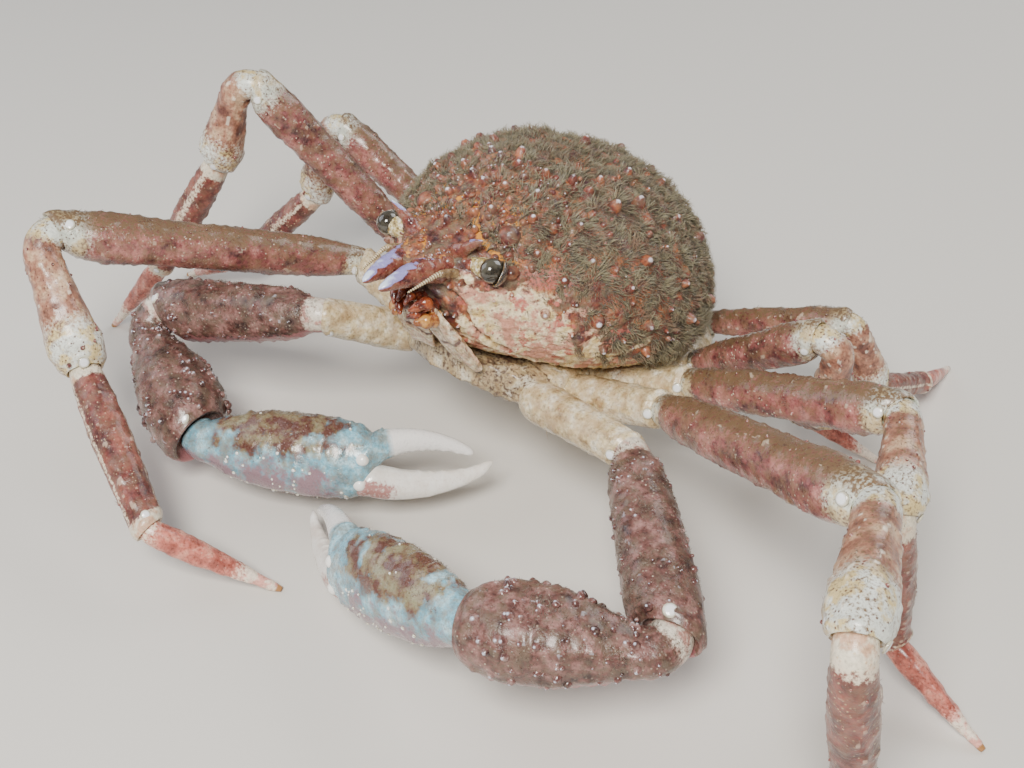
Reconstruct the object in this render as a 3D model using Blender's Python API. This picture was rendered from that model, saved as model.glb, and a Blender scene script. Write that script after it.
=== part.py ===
"""Sheep crab standing on a level floor, head to -Y, its left side to +X, +Z up, in metres.

The body is laid out in its own frame (forward, left, up, in millimetres) and then set nose-up over the
floor; every limb is a chain of separate segments whose headings and rises are given in degrees.
"""
import math
import random

import bpy
import numpy as np
from mathutils import Matrix, Vector

MM = 0.001
GAP = 0.4                      # clear distance between neighbouring pieces, mm
NOSE_UP = 14.0                 # pitch of the body, degrees
LEFT_UP = 3.0                  # roll of the body, degrees
BODY_HEIGHT = 102.5            # height of the body's own origin over the floor, mm

# Carapace: outline radius in mm from the point OUTLINE_CENTRE at each bearing from straight ahead
OUTLINE_CENTRE = -8.0
OUTLINE_BEARINGS = (0, 18, 36, 56, 80, 102, 130, 156, 180)
OUTLINE_RADII = (74, 70, 66, 68, 72, 74, 73, 71, 69)
RIM_LEVEL = -15.0
BRANCHIAL_SAG = 5.0            # how much lower the rim runs along the gill chambers
DOME_HEIGHT = 53.0
BELLY_DEPTH = 33.0
FLOOR_OF_SHELL = -42.0         # level underside of the carapace
FRONT_BREAK = 46.0             # ahead of this the underside rises
FRONT_SLOPE = 1.25

STERNUM_HALF_WIDTH = 44.0
STERNUM_NOSE = 14.0            # half width of the sternum at its front end
CLAW_CORNER = (38.0, 34.0)     # forward place and half width where the slanted side for the claw begins
SHOULDER = 22.0                # forward place where the sternum reaches its full width
STERNUM_DEPTH = 64.5
CHEST_DEPTH = 53.0             # the sternum is this shallow at its front end
COXA_LEVEL = -54.0

# Head forms in the body frame (forward, left, up), given for the crab's left side, root first
MUZZLE_BULGE = 0.12            # how far the front of the shell stands out, as a share of its radius
MUZZLE_SLANT = 68.0
ROSTRUM = ((44, 0, 6), (77, 0, 1.5))
# Rostrum along its length: (share, half depth, half width)
ROSTRUM_FORM = ((0, 8, 12), (0.6, 8, 12.5), (0.9, 6, 10), (1, 3.5, 7))
HORN = ((65, 7.4, 1.0), (95, 4.6, -3.8))
BROW_SPINE = ((60.5, 12, 8), (63, 26, 17.9))
ORBIT_CUP = ((47, 29, 2), (57, 37, 7.5))
CHEEK_SPINES = (((59, 17, -2), (66.5, 19.5, -2)), ((52, 21, -6), (59, 24.5, -8)))
# Spines of the head: (form, radius, depth the root is sunk, sides)
HEAD_SPINES = ((HORN, 6.6, 7, 9), (BROW_SPINE, 3.4, 5, 7), (ORBIT_CUP, 4.6, 5, 7),
               (CHEEK_SPINES[0], 3.2, 3, 6), (CHEEK_SPINES[1], 3.6, 3, 6))
EYE = ((57, 15, 4), (59.5, 29.5, 6.2))
EYE_RADIUS = 4.4
STALK_RADIUS = 2.8
FEELER = ((61, 15, 0.5), (74.5, 15.5, 2.6), (88, 13, -3.4))
FEELER_RADII = (2.3, 1.7, 0.55)                   # at the root, at the bend and at the tip
# Outer mouth plates: (forward, left, half width, half depth) of each station
MOUTH_PLATE = ((46.4, 11.6, 11.0, 2.6), (53, 11.2, 10.6, 3.0), (60, 9.6, 9.0, 3.0), (67.9, 7.2, 6.2, 2.6))
# Short palps in front of the mouth: (forward, half width, up, half depth)
PALPS = ((68.4, 8.5, -17.4, 4.6), (73, 8.0, -16.6, 4.8), (77.5, 5.0, -15, 3.4))

# Limb chains. Each limb's base ends at the given place, in world mm from the body's own origin; its
# segments follow as (heading, rise) in degrees, heading measured from straight ahead towards the left.
CLAW_LENGTHS = (87.0, 70.0, 79.0, 52.0)          # merus, carpus, palm, finger
CLAW_POSES = {
    "left": ((96, -48, -36), ((50, -7), (-54, -3), (-93, -18), (-113, -17))),
    "right": ((-52, -78, -28), ((-69, -13), (65, -21), (120, 1), (142, -6))),
}
LEG_LENGTHS = {
    "leg2": (137.0, 61.0, 80.0),
    "leg3": (102.0, 46.0, 71.0),
    "leg4": (78.0, 43.0, 60.0),
    "leg5": (68.0, 38.0, 52.0),
}
FOOT_LENGTHS = {"leg2": 59.0, "leg3": 50.0, "leg4": 45.0, "leg5": 40.0}
LEG_POSES = {
    "leg2_left": ((91, -21, -33), ((69, 23), (27, 3), (158, -81)), -112),
    "leg2_right": ((-82, -31, -36), ((-29, 17), (64, -47), (73, -23)), 130),
    "leg3_left": ((84, 5, -38), ((89, 22), (33, -11), (162, -80)), 88),
    "leg3_right": ((-86, 1, -41), ((-53, 50), (-48, -61), (-49, -58)), -56),
    "leg4_left": ((69, 29, -49), ((85, 38), (165, -78), (-140, -38)), 120),
    "leg4_right": ((-76, 27, -47), ((-70, 38), (-54, -66), (-56, -45)), -72),
    "leg5_left": ((50, 63, -54), ((104, 20), (130, -64), (178, -26)), -172),
    "leg5_right": ((-50, 58, -55), ((-128, 2), (-128, -10), (-127, -33)), -140),
}
ROOT_FORWARD = {"leg2": 12.0, "leg3": -8.0, "leg4": -27.0, "leg5": -46.5}
ROOT_RADIUS = {"claw": 9.3, "leg2": 9.2, "leg3": 8.8, "leg4": 8.2, "leg5": 7.2}
LEG_SIDES = 10
CLAW_SIDES = 14
MAX_MITRE = math.radians(33.0)
CLAW_UP = Vector((-0.43, 0.44, 0.79))            # the way the narrow edge of each palm faces

# (share of the length, half depth, half width), in units of the segment's own size
MERUS_FORM = ((0.10, 0.84, 0.82), (0.32, 0.96, 0.92), (0.62, 0.98, 0.94), (0.84, 1.10, 1.02))
CARPUS_FORM = ((0.20, 0.80, 0.78), (0.50, 0.98, 0.94), (0.80, 1.18, 1.08))
PROPODUS_FORM = ((0.12, 0.92, 0.90), (0.40, 1.00, 0.94), (0.75, 0.88, 0.84))
FOOT_FORM = ((0.10, 0.95, 0.92), (0.35, 0.86, 0.80), (0.62, 0.62, 0.58), (0.84, 0.38, 0.36))
LEG_SIZES = {
    "leg2": (10.4, 10.4, 8.4, 6.0),
    "leg3": (9.0, 9.0, 7.4, 5.4),
    "leg4": (8.2, 8.2, 6.8, 4.9),
    "leg5": (6.9, 7.0, 5.8, 4.3),
}
CLAW_SIZES = (13.2, 17.4)
CLAW_NECKS = (8.2, 9.6)
CLAW_FORMS = (((0.12, 0.84, 0.82), (0.34, 0.96, 0.94), (0.64, 1.04, 1.02), (0.84, 1.08, 1.04)),
              ((0.16, 0.72, 0.72), (0.44, 1.00, 0.98), (0.74, 1.08, 1.04)))
# Palm beyond its bend: (share of its run, half height, half thickness) in mm
PALM_FORM = ((0.14, 13.4, 10.8), (0.34, 16.6, 12.6), (0.60, 17.4, 12.8), (0.82, 16.6, 11.6), (1.0, 14.6, 9.4))
FIXED_FINGER_FORM = ((0.0, 6.4, 6.2), (0.16, 5.8, 5.6), (0.42, 4.7, 4.3), (0.68, 3.5, 3.1), (0.88, 2.2, 1.9))
HINGED_FINGER_FORM = ((0.0, 6.9, 7.0), (0.10, 7.3, 6.9), (0.34, 6.2, 5.7), (0.60, 4.8, 4.3), (0.84, 3.1, 2.7))

SPINES = {                     # base radius, height, depth the root is sunk, mm
    "large": (3.3, 5.4, 2.6),
    "boss": (4.6, 4.4, 2.6),
    "medium": (2.6, 3.8, 2.2),
    "small": (1.9, 2.4, 1.8),
}
# Rows of tubercles on both sides of the shell: (kind, slant, bearings)
SPINE_ROWS = (
    ("large", 84, (42, 60, 78, 97, 116, 136)),
    ("large", 58, (80, 118)),
    ("large", 36, (74, 90)),
    ("boss", 54, (24,)),
    ("medium", 101, (64, 80, 104)),
    ("medium", 69, (47, 71, 96, 160)),
    ("medium", 60, (36, 57, 140)),
    ("medium", 46, (13, 31, 53, 108)),
    ("medium", 35, (12, 30, 124, 150)),
    ("medium", 24, (9, 30, 52, 74, 102)),
)
MIDLINE_SPINES = (("medium", 0, (54, 36)), ("large", 0, (18,)), ("large", 180, (12, 34, 56, 78)))
GRAINS = 12                    # small tubercles scattered between the rows
CLUMPS = 160                   # places tried for clumps of woolly growth, evenly spread over the shell
CLUMP_RADIUS = 3.2
CLUMP_LENGTH = 5.6
CLUMP_SUNK = 1.8
CLUMP_LEAN = (0.62, 0.8)       # share of its way that stands out from the shell, and that lies along it
BALD_FORWARD = 30.0            # no growth ahead of this place
BARE_FLANK = (68.0, 66.0)      # nor beyond this slant where the bearing is less than the second value
COLOURS = {
    "shell": "9C5A48",
    "underside": "D9C9A6",
    "mouth": "8A4630",
    "eye": "2B2420",
    "antenna": "C9A07C",
    "claw_arm": "8B6A5C",
    "palm": "8FB4BC",
    "finger": "EFEAE0",
    "leg": "B5746A",
    "joint": "DDD2B8",
    "propodus": "A0463E",
    "foot": "D98A72",
}


def linear(hex_text):
    """Linear colour of an sRGB hex text."""
    channels = [int(hex_text[i:i + 2], 16) / 255 for i in (0, 2, 4)]
    return [c / 12.92 if c <= 0.04045 else ((c + 0.055) / 1.055) ** 2.4 for c in channels] + [1.0]


def material(name, colour, roughness=0.55):
    surface = bpy.data.materials.new(name)
    surface.use_nodes = True
    shader = surface.node_tree.nodes["Principled BSDF"]
    shader.inputs["Base Color"].default_value = linear(COLOURS[colour])
    shader.inputs["Roughness"].default_value = roughness
    return surface


TURN = Matrix.Rotation(math.radians(-NOSE_UP), 3, "X") @ Matrix.Rotation(math.radians(-LEFT_UP), 3, "Y")


def body_point(forward, left, up):
    """World place in mm of a point of the body frame."""
    return TURN @ Vector((left, -forward, up)) + Vector((0, 0, BODY_HEIGHT))


def body_direction(forward, left, up):
    return (TURN @ Vector((left, -forward, up))).normalized()


def direction(heading, rise):
    """World direction from a heading (from straight ahead towards the crab's left) and a rise."""
    h = math.radians(heading)
    r = math.radians(rise)
    return Vector((math.sin(h) * math.cos(r), -math.cos(h) * math.cos(r), math.sin(r)))


def mesh_object(name, points, faces, collection, surface=None):
    mesh = bpy.data.meshes.new(name)
    mesh.from_pydata([tuple(c * MM for c in p) for p in points], [], faces)
    mesh.validate()
    item = bpy.data.objects.new(name, mesh)
    collection.objects.link(item)
    if surface:
        mesh.materials.append(surface)
    return item


def loft(name, rings, collection, surface=None, apex=None):
    """Closed body through a list of rings with the same number of points; a flat face closes each end,
    or the last ring runs to one point."""
    count = len(rings[0])
    points = [p for ring in rings for p in ring]
    faces = [tuple(reversed(range(count)))]
    for k in range(len(rings) - 1):
        for i in range(count):
            j = (i + 1) % count
            a = k * count
            faces.append((a + i, a + j, a + count + j, a + count + i))
    last = (len(rings) - 1) * count
    if apex is None:
        faces.append(tuple(range(last, last + count)))
    else:
        points.append(apex)
        faces += [(last + i, last + (i + 1) % count, len(points) - 1) for i in range(count)]
    return mesh_object(name, points, faces, collection, surface)


def frame_across(along, side):
    """Two unit vectors square to a direction, the second one nearest to side."""
    across = side - along * side.dot(along)
    if across.length < 0.2:
        across = along.orthogonal()
    across.normalize()
    return across.cross(along), across


def ring(centre, along, side, depth, width, count):
    """Oval of points round centre, square to along, running anticlockwise seen from its far end."""
    deep, wide = frame_across(along, side)
    turns = [2 * math.pi * (i + 0.5) / count for i in range(count)]
    return [centre + wide * (width * math.cos(t)) - deep * (depth * math.sin(t)) for t in turns]


def arc_to(start, normal, target, radius):
    """Bend a path that leaves start along normal until it points at target: points, tangents, heading."""
    heading = (target - start).normalized()
    for _ in range(6):
        axis = normal.cross(heading)
        turn = normal.angle(heading)
        if axis.length < 1e-6 or turn < 1e-4:
            return [], [], heading, start
        axis.normalize()
        centre = start + axis.cross(normal) * radius
        end = centre + Matrix.Rotation(turn, 3, axis) @ (start - centre)
        heading = (target - end).normalized()
    steps = max(1, math.ceil(turn / math.radians(28)))
    points = []
    tangents = []
    for k in range(1, steps + 1):
        part = Matrix.Rotation(turn * k / steps, 3, axis)
        points.append(centre + part @ (start - centre))
        tangents.append((part @ normal).normalized())
    return points, tangents, heading, points[-1]


def cut_ring(points, along, plane_point, plane_normal):
    """Slide a ring's points along a direction until they lie in a plane."""
    return [p + along * ((plane_point - p).dot(plane_normal) / along.dot(plane_normal)) for p in points]


def segment_rings(start, end, start_normal, end_normal, neck, form, size, tail, side, count):
    """Rings of one limb segment: a neck that leaves the joint square to it and bends round, a body
    that follows form, and a slanted end in the plane of the next joint."""
    first = start + start_normal * (GAP / 2)
    rings = [ring(first, start_normal, side, neck, neck, count)]
    points, tangents, heading, bent = arc_to(first, start_normal, end, neck * 1.25)
    for point, tangent in zip(points, tangents):
        rings.append(ring(point, tangent, side, neck * 1.02, neck * 1.02, count))
    run = (end - bent).length
    for share, depth, width in form:
        rings.append(ring(bent + heading * (run * share), heading, side, depth * size, width * size, count))
    last = ring(end, heading, side, tail, tail, count)
    rings.append(cut_ring(last, heading, end - end_normal * (GAP / 2), end_normal))
    return rings


def joint_normal(before, after):
    """Normal of the plane between two segments: half-way between them, but never far off the first."""
    turn = before.angle(after)
    if turn < 1e-4:
        return before.copy()
    axis = before.cross(after).normalized()
    return Matrix.Rotation(min(turn / 2, MAX_MITRE), 3, axis) @ before


def chain_side(directions):
    """Normal of the plane a limb bends in, as nearly as it has one."""
    total = Vector((0, 0, 0))
    for a, b in zip(directions, directions[1:]):
        turn = a.cross(b)
        total += turn if turn.dot(total) >= 0 else -turn
    return total.normalized()


def thorn(name, foot, tip, radius, sunk, collection, sides):
    """Closed tapered spine from foot to tip, its root sunk below foot."""
    along = (tip - foot).normalized()
    side = along.orthogonal()
    rings = [
        ring(foot - along * sunk, along, side, radius, radius, sides),
        ring(foot.lerp(tip, 0.04), along, side, radius * 0.95, radius * 0.95, sides),
        ring(foot.lerp(tip, 0.45), along, side, radius * 0.58, radius * 0.58, sides),
    ]
    return loft(name, rings, collection, apex=tip)


def spine(name, foot, along, kind, collection, sides=6, scale=1.0):
    """Low pointed knob of a named kind standing along a direction."""
    radius, height, sunk = (value * scale for value in SPINES[kind])
    side = along.orthogonal()
    rings = [ring(foot - along * sunk, along, side, radius, radius, sides),
             ring(foot + along * (height * 0.5), along, side, radius * 0.72, radius * 0.72, sides)]
    return loft(name, rings, collection, apex=foot + along * height)


def mirrored(point, side):
    """World place of a head point on the crab's left (side 1) or right (side -1)."""
    return body_point(point[0], point[1] * side, point[2])


def unite(target, cutters):
    """Fuse every object of a helper collection into target and keep its one outer skin."""
    fuse = target.modifiers.new("fuse", "BOOLEAN")
    fuse.operation = "UNION"
    fuse.operand_type = "COLLECTION"
    fuse.collection = cutters
    fuse.solver = "EXACT"
    apply_modifiers(target)
    for item in list(cutters.objects):
        bpy.data.objects.remove(item)


def cut(target, tools):
    """Take every object of a list out of target."""
    for tool in tools:
        hole = target.modifiers.new("socket", "BOOLEAN")
        hole.operation = "DIFFERENCE"
        hole.object = tool
        hole.solver = "EXACT"
    apply_modifiers(target)
    for tool in tools:
        bpy.data.objects.remove(tool)


def apply_modifiers(target):
    graph = bpy.context.evaluated_depsgraph_get()
    mesh = bpy.data.meshes.new_from_object(target.evaluated_get(graph))
    target.modifiers.clear()
    target.data = mesh
    keep_outer_skin(target)


def keep_outer_skin(target):
    """Drop every closed surface of the mesh but the one with the most faces."""
    mesh = target.data
    count = len(mesh.vertices)
    edges = np.empty(len(mesh.edges) * 2, dtype=np.int64)
    mesh.edges.foreach_get("vertices", edges)
    edges = edges.reshape(-1, 2)
    label = np.arange(count)
    while True:
        low = np.minimum(label[edges[:, 0]], label[edges[:, 1]])
        before = label.copy()
        np.minimum.at(label, edges[:, 0], low)
        np.minimum.at(label, edges[:, 1], low)
        label = label[label]
        if np.array_equal(label, before):
            break
    names, sizes = np.unique(label, return_counts=True)
    if len(names) == 1:
        return
    keep = label == names[sizes.argmax()]
    remap = np.cumsum(keep) - 1
    points = [tuple(v.co / MM) for v in mesh.vertices if keep[v.index]]
    faces = [tuple(int(remap[i]) for i in f.vertices) for f in mesh.polygons if keep[f.vertices[0]]]
    surface = mesh.materials[0] if mesh.materials else None
    fresh = bpy.data.meshes.new(mesh.name)
    fresh.from_pydata([tuple(c * MM for c in p) for p in points], [], faces)
    if surface:
        fresh.materials.append(surface)
    target.data = fresh


def outline_radius(bearing):
    """Radius of the carapace outline at a bearing in degrees, 0 to 360."""
    folded = np.abs((np.asarray(bearing) + 180) % 360 - 180)
    knots = np.concatenate((-np.array(OUTLINE_BEARINGS)[:0:-1], OUTLINE_BEARINGS,
                            360 - np.array(OUTLINE_BEARINGS)[-2::-1]))
    radii = np.concatenate((np.array(OUTLINE_RADII)[:0:-1], OUTLINE_RADII, np.array(OUTLINE_RADII)[-2::-1]))
    smooth = 0
    for offset, weight in ((-9, 0.25), (0, 0.5), (9, 0.25)):
        smooth = smooth + weight * np.interp(folded + offset, knots, radii)
    return smooth


def swelling(forward, left, centre_forward, centre_left, reach):
    away = (forward - centre_forward) ** 2 + (np.abs(left) - centre_left) ** 2
    return np.exp(-away / reach ** 2)


def dome(bearing, slant):
    """Body-frame point of the carapace: bearing in degrees round it, slant 0 at the crown to 180 below."""
    b = np.radians(bearing)
    s = np.radians(slant)
    folded = np.abs((bearing + 180) % 360 - 180)
    muzzle = MUZZLE_BULGE * np.exp(-(folded / 28) ** 2 - ((slant - MUZZLE_SLANT) / 16) ** 2)
    reach = outline_radius(bearing) * np.sin(s) ** 0.92 * (1 + muzzle)
    forward = OUTLINE_CENTRE + reach * np.cos(b)
    left = reach * np.sin(b)
    height = np.where(slant < 90, DOME_HEIGHT, BELLY_DEPTH)
    up = RIM_LEVEL + height * np.cos(s)
    up = up - BRANCHIAL_SAG * np.exp(-((folded - 98) / 40) ** 2) * np.sin(s) ** 2
    rise = 2.8 * swelling(forward, left, 22, 0, 19) + 3.4 * swelling(forward, left, -24, 34, 22)
    rise = rise + 2.4 * swelling(forward, left, -46, 0, 15) - 2.6 * swelling(forward, left, -6, 17, 9)
    up = up + np.where(slant < 80, rise, 0)
    lowest = FLOOR_OF_SHELL + FRONT_SLOPE * np.maximum(0, forward - FRONT_BREAK)
    return forward, left, np.maximum(up, lowest)


def dome_place(bearing, slant):
    """World place and outward direction on the carapace."""
    here = [float(c) for c in dome(bearing, slant)]
    ahead = [float(c) for c in dome(bearing + 1.5, slant)]
    down = [float(c) for c in dome(bearing, slant + 1.5)]
    place = body_point(*here)
    outward = (body_point(*down) - place).cross(body_point(*ahead) - place)
    return place, outward.normalized()


def carapace(parts, helpers):
    around = 28
    slants = (8, 19, 31, 43, 55, 67, 79, 90, 102, 116, 134, 156)
    bearings = np.arange(around) * 360.0 / around
    rings = []
    for slant in slants:
        forward, left, up = dome(bearings, np.full(around, float(slant)))
        rings.append([body_point(f, w, u) for f, w, u in zip(forward.tolist(), left.tolist(), up.tolist())])
    shell = loft("carapace", [list(r) for r in rings], parts, material("carapace_shell", "shell", 0.6))
    flip_inward(shell)
    rostrum_root = body_point(*ROSTRUM[0])
    rostrum_end = body_point(*ROSTRUM[1])
    rostrum_way = (rostrum_end - rostrum_root).normalized()
    across = body_direction(0, 1, 0)
    rings = [ring(rostrum_root.lerp(rostrum_end, share), rostrum_way, across, deep, wide, 10)
             for share, deep, wide in ROSTRUM_FORM]
    flip_inward(loft("rostrum", rings, helpers))
    for side in (-1, 1):
        for form, radius, sunk, sides in HEAD_SPINES:
            thorn("head_spine", mirrored(form[0], side), mirrored(form[1], side), radius, sunk, helpers, sides)
        for kind, slant, bearings in SPINE_ROWS:
            for bearing in bearings:
                place, outward = dome_place(bearing * side, slant)
                spine("side_spine", place, outward, kind, helpers)
    for kind, bearing, slants in MIDLINE_SPINES:
        for slant in slants:
            place, outward = dome_place(bearing, slant)
            spine("crown_spine", place, outward, kind, helpers)
    scatter = random.Random(11)
    for _ in range(GRAINS):
        place, outward = dome_place(scatter.uniform(15, 345), scatter.uniform(16, 78))
        spine("grain", place, outward, "small", helpers, 5, scatter.uniform(0.9, 1.25))
    clumps(helpers)
    unite(shell, helpers)
    return shell


def clumps(helpers):
    """Clumps of woolly growth over the back: pointed locks that lean back and down the shell, at places
    of an even spiral, left off the face and off the bare flank behind it."""
    scatter = random.Random(7)
    back = body_direction(-0.9, 0, -0.4)
    for k in range(CLUMPS):
        bearing = math.degrees(k * math.pi * (3 - math.sqrt(5))) % 360
        slant = math.degrees(math.acos(1 - 1.42 * (k + 0.5) / CLUMPS))
        folded = min(bearing, 360 - bearing)
        forward = float(dome(bearing, slant)[0])
        if forward > BALD_FORWARD or (slant > BARE_FLANK[0] and folded < BARE_FLANK[1]):
            continue
        place, outward = dome_place(bearing, slant)
        lie = (back - outward * back.dot(outward)).normalized()
        aside = outward.cross(lie) * scatter.uniform(-0.5, 0.5)
        way = (outward * CLUMP_LEAN[0] + lie * CLUMP_LEAN[1] + aside).normalized()
        size = scatter.uniform(0.8, 1.2)
        foot = place - way * CLUMP_SUNK
        side = way.orthogonal()
        radius = CLUMP_RADIUS * size
        tip = place + way * (CLUMP_LENGTH * size)
        rings = [ring(foot, way, side, radius, radius, 5),
                 ring(place + way * (CLUMP_LENGTH * 0.4 * size), way, side, radius * 0.62, radius * 0.8, 5)]
        loft("clump", rings, helpers, apex=tip)


def flip_inward(item):
    """Turn the faces outward where a loft was run the other way round."""
    mesh = item.data
    points = np.array([v.co for v in mesh.vertices])
    volume = 0.0
    for face in mesh.polygons:
        corners = points[list(face.vertices)]
        for k in range(1, len(corners) - 1):
            volume += np.dot(corners[0], np.cross(corners[k], corners[k + 1]))
    if volume < 0:
        mesh.flip_normals()


def rounded_block(name, stations, parts, surface, count=12, power=0.6):
    """Body lofted along forward: each station is (forward, left, up, half width, half height)."""
    rings = []
    for forward, left, up, wide, high in stations:
        loop = []
        for i in range(count):
            t = 2 * math.pi * (i + 0.5) / count
            x = math.copysign(abs(math.cos(t)) ** power, math.cos(t)) * wide
            z = math.copysign(abs(math.sin(t)) ** power, math.sin(t)) * high
            loop.append(body_point(forward, left + x, up + z))
        rings.append(loop)
    item = loft(name, rings, parts, surface)
    flip_inward(item)
    return item


def underside(parts):
    """Sternum as a flat block under the carapace, with level sides for the limb roots."""
    top = FLOOR_OF_SHELL - GAP
    half = STERNUM_HALF_WIDTH
    outline = ((FRONT_BREAK, STERNUM_NOSE), CLAW_CORNER, (SHOULDER, half), (-54, half), (-62, 30))
    loop = [(f, w) for f, w in outline] + [(f, -w) for f, w in reversed(outline)]
    rise = [STERNUM_DEPTH - CHEST_DEPTH if f == FRONT_BREAK else 0.0 for f, w in loop]
    rings = [[body_point(f, w, top) for f, w in loop]]
    for level, shrink in ((-STERNUM_DEPTH + 1.5, 1.0), (-STERNUM_DEPTH, 0.94)):
        rings.append([body_point(f * shrink, w * shrink, level + up) for (f, w), up in zip(loop, rise)])
    item = loft("sternum", rings, parts, material("sternum_plates", "underside", 0.5))
    flip_inward(item)
    below = -STERNUM_DEPTH - GAP
    rounded_block("abdomen", ((-52, 0, below - 2.2, 9, 2.2), (-40, 0, below - 2.6, 15, 2.6),
                              (-10, 0, below - 2.6, 13, 2.6), (14, 0, below - 2.4, 9, 2.4),
                              (26, 0, below - 1.6, 4, 1.6)), parts, material("abdomen_flap", "underside", 0.5))
    for side, name in ((1, "left"), (-1, "right")):
        stations = []
        for forward, left, wide, deep in MOUTH_PLATE:
            roof = FLOOR_OF_SHELL - GAP * 1.6 + FRONT_SLOPE * (forward - FRONT_BREAK)
            stations.append((forward, side * left, roof - deep, wide, deep))
        rounded_block("mouthpart_" + name, stations, parts, material("mouthpart_" + name, "underside", 0.4))
    stations = [(forward, 0, up, wide, deep) for forward, wide, up, deep in PALPS]
    rounded_block("palps", stations, parts, material("palps", "mouth", 0.3))


def eyes_and_antennae(parts, shell, helpers):
    """Stalked eyes and short feelers, each in a round socket of the carapace."""
    tools = []
    across = body_direction(0, 1, 0)
    for side, name in ((1, "left"), (-1, "right")):
        foot = mirrored(EYE[0], side)
        eye = mirrored(EYE[1], side)
        way = (eye - foot).normalized()
        ahead = body_direction(1, 0, 0)
        rings = [ring(foot.lerp(eye, share), way, ahead, STALK_RADIUS, STALK_RADIUS, 8) for share in (0, 0.62)]
        for along, share in ((-0.56, 0.82), (0.0, 1.0), (0.56, 0.80)):
            radius = EYE_RADIUS * share
            rings.append(ring(eye + way * (EYE_RADIUS * along), way, ahead, radius, radius, 8))
        tip = eye + way * (EYE_RADIUS * 0.92)
        loft("eye_" + name, rings, parts, material("eye_" + name, "eye", 0.15), apex=tip)
        bore = STALK_RADIUS + GAP + 0.2
        hole = [ring(foot - way * GAP, way, ahead, bore, bore, 12), ring(eye - way * 3.8, way, ahead, bore, bore, 12)]
        flare = EYE_RADIUS + 1.3
        hole.append(ring(eye - way * 2.2, way, ahead, flare, flare, 12))
        hole.append(ring(eye + way * 8, way, ahead, flare, flare, 12))
        tools.append(loft("eye_socket", hole, helpers))
        foot, knee, tip = (mirrored(point, side) for point in FEELER)
        way = (knee - foot).normalized()
        root, bend, end = FEELER_RADII
        rings = [ring(foot, way, across, root, root, 7), ring(foot.lerp(knee, 0.8), way, across, root, root, 7),
                 ring(knee, way, across, bend, bend, 7)]
        onward = (tip - knee).normalized()
        for share, radius in ((0.12, bend * 0.72), (0.45, bend * 0.6), (0.75, bend * 0.47), (1.0, end)):
            rings.append(ring(knee.lerp(tip, share), onward, across, radius, radius, 7))
        loft("antenna_" + name, rings, parts, material("antenna_" + name, "antenna", 0.4))
        bore = root + GAP + 0.2
        hole = [ring(foot - way * GAP, way, across, bore, bore, 10), ring(knee + way * 4, way, across, bore, bore, 10)]
        tools.append(loft("antenna_socket", hole, helpers))
    for tool in tools:
        flip_inward(tool)
    cut(shell, tools)


def root_piece(name, kind, sign, end, next_way, parts):
    """Base of a limb, from the flat side of the sternum to the joint with the merus."""
    if kind == "claw":
        ahead = CLAW_CORNER[0] - SHOULDER
        aside = STERNUM_HALF_WIDTH - CLAW_CORNER[1]
        start = body_point(SHOULDER + ahead / 2, sign * (STERNUM_HALF_WIDTH - aside / 2), COXA_LEVEL)
        outward = body_direction(aside, sign * ahead, 0)
    else:
        start = body_point(ROOT_FORWARD[kind], sign * STERNUM_HALF_WIDTH, COXA_LEVEL)
        outward = body_direction(0, sign, 0)
    radius = ROOT_RADIUS[kind]
    way = (end - start).normalized()
    normal = joint_normal(way, next_way)
    tail = radius * 0.86
    side = body_direction(1, 0, 0)
    rings = segment_rings(start + outward * (GAP / 2), end, outward, normal, radius * 0.98,
                          ((0.35, 0.94, 0.94), (0.66, 0.90, 0.90)), radius, tail, side, LEG_SIDES)
    item = loft(name, rings, parts, material(name, "joint", 0.45))
    flip_inward(item)
    return normal, tail


def leg(name, parts):
    kind, word = name.split("_")
    sign = 1 if word == "left" else -1
    end, poses, foot_heading = LEG_POSES[name]
    lengths = LEG_LENGTHS[kind]
    sizes = LEG_SIZES[kind]
    place = Vector(end) + Vector((0, 0, BODY_HEIGHT))
    joints = [place]
    ways = []
    for (heading, rise), length in zip(poses, lengths):
        ways.append(direction(heading, rise))
        joints.append(joints[-1] + ways[-1] * length)
    drop = math.degrees(math.asin(joints[-1].z / FOOT_LENGTHS[kind]))
    ways.append(direction(foot_heading, -drop))
    joints.append(joints[-1] + ways[-1] * FOOT_LENGTHS[kind])
    side = chain_side(ways)
    normal, _ = root_piece(name + "_base", kind, sign, place, ways[0], parts)
    labels = ("merus", "carpus", "propodus")
    forms = (MERUS_FORM, CARPUS_FORM, PROPODUS_FORM)
    colours = ("leg", "joint", "propodus")
    for k in range(3):
        after = joint_normal(ways[k], ways[k + 1])
        neck = min(sizes[k] * 0.80, (ROOT_RADIUS[kind] * 0.86 if k == 0 else sizes[k - 1] * 0.86) * 0.96)
        rings = segment_rings(joints[k], joints[k + 1], normal, after, neck, forms[k], sizes[k],
                              sizes[k] * 0.86, side, LEG_SIDES)
        label = name + "_" + labels[k]
        flip_inward(loft(label, rings, parts, material(label, colours[k])))
        normal = after
    rings = foot_rings(joints[3], joints[4], normal, sizes[3], side)
    label = name + "_dactyl"
    flip_inward(loft(label, rings, parts, material(label, "foot", 0.4)))


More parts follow.
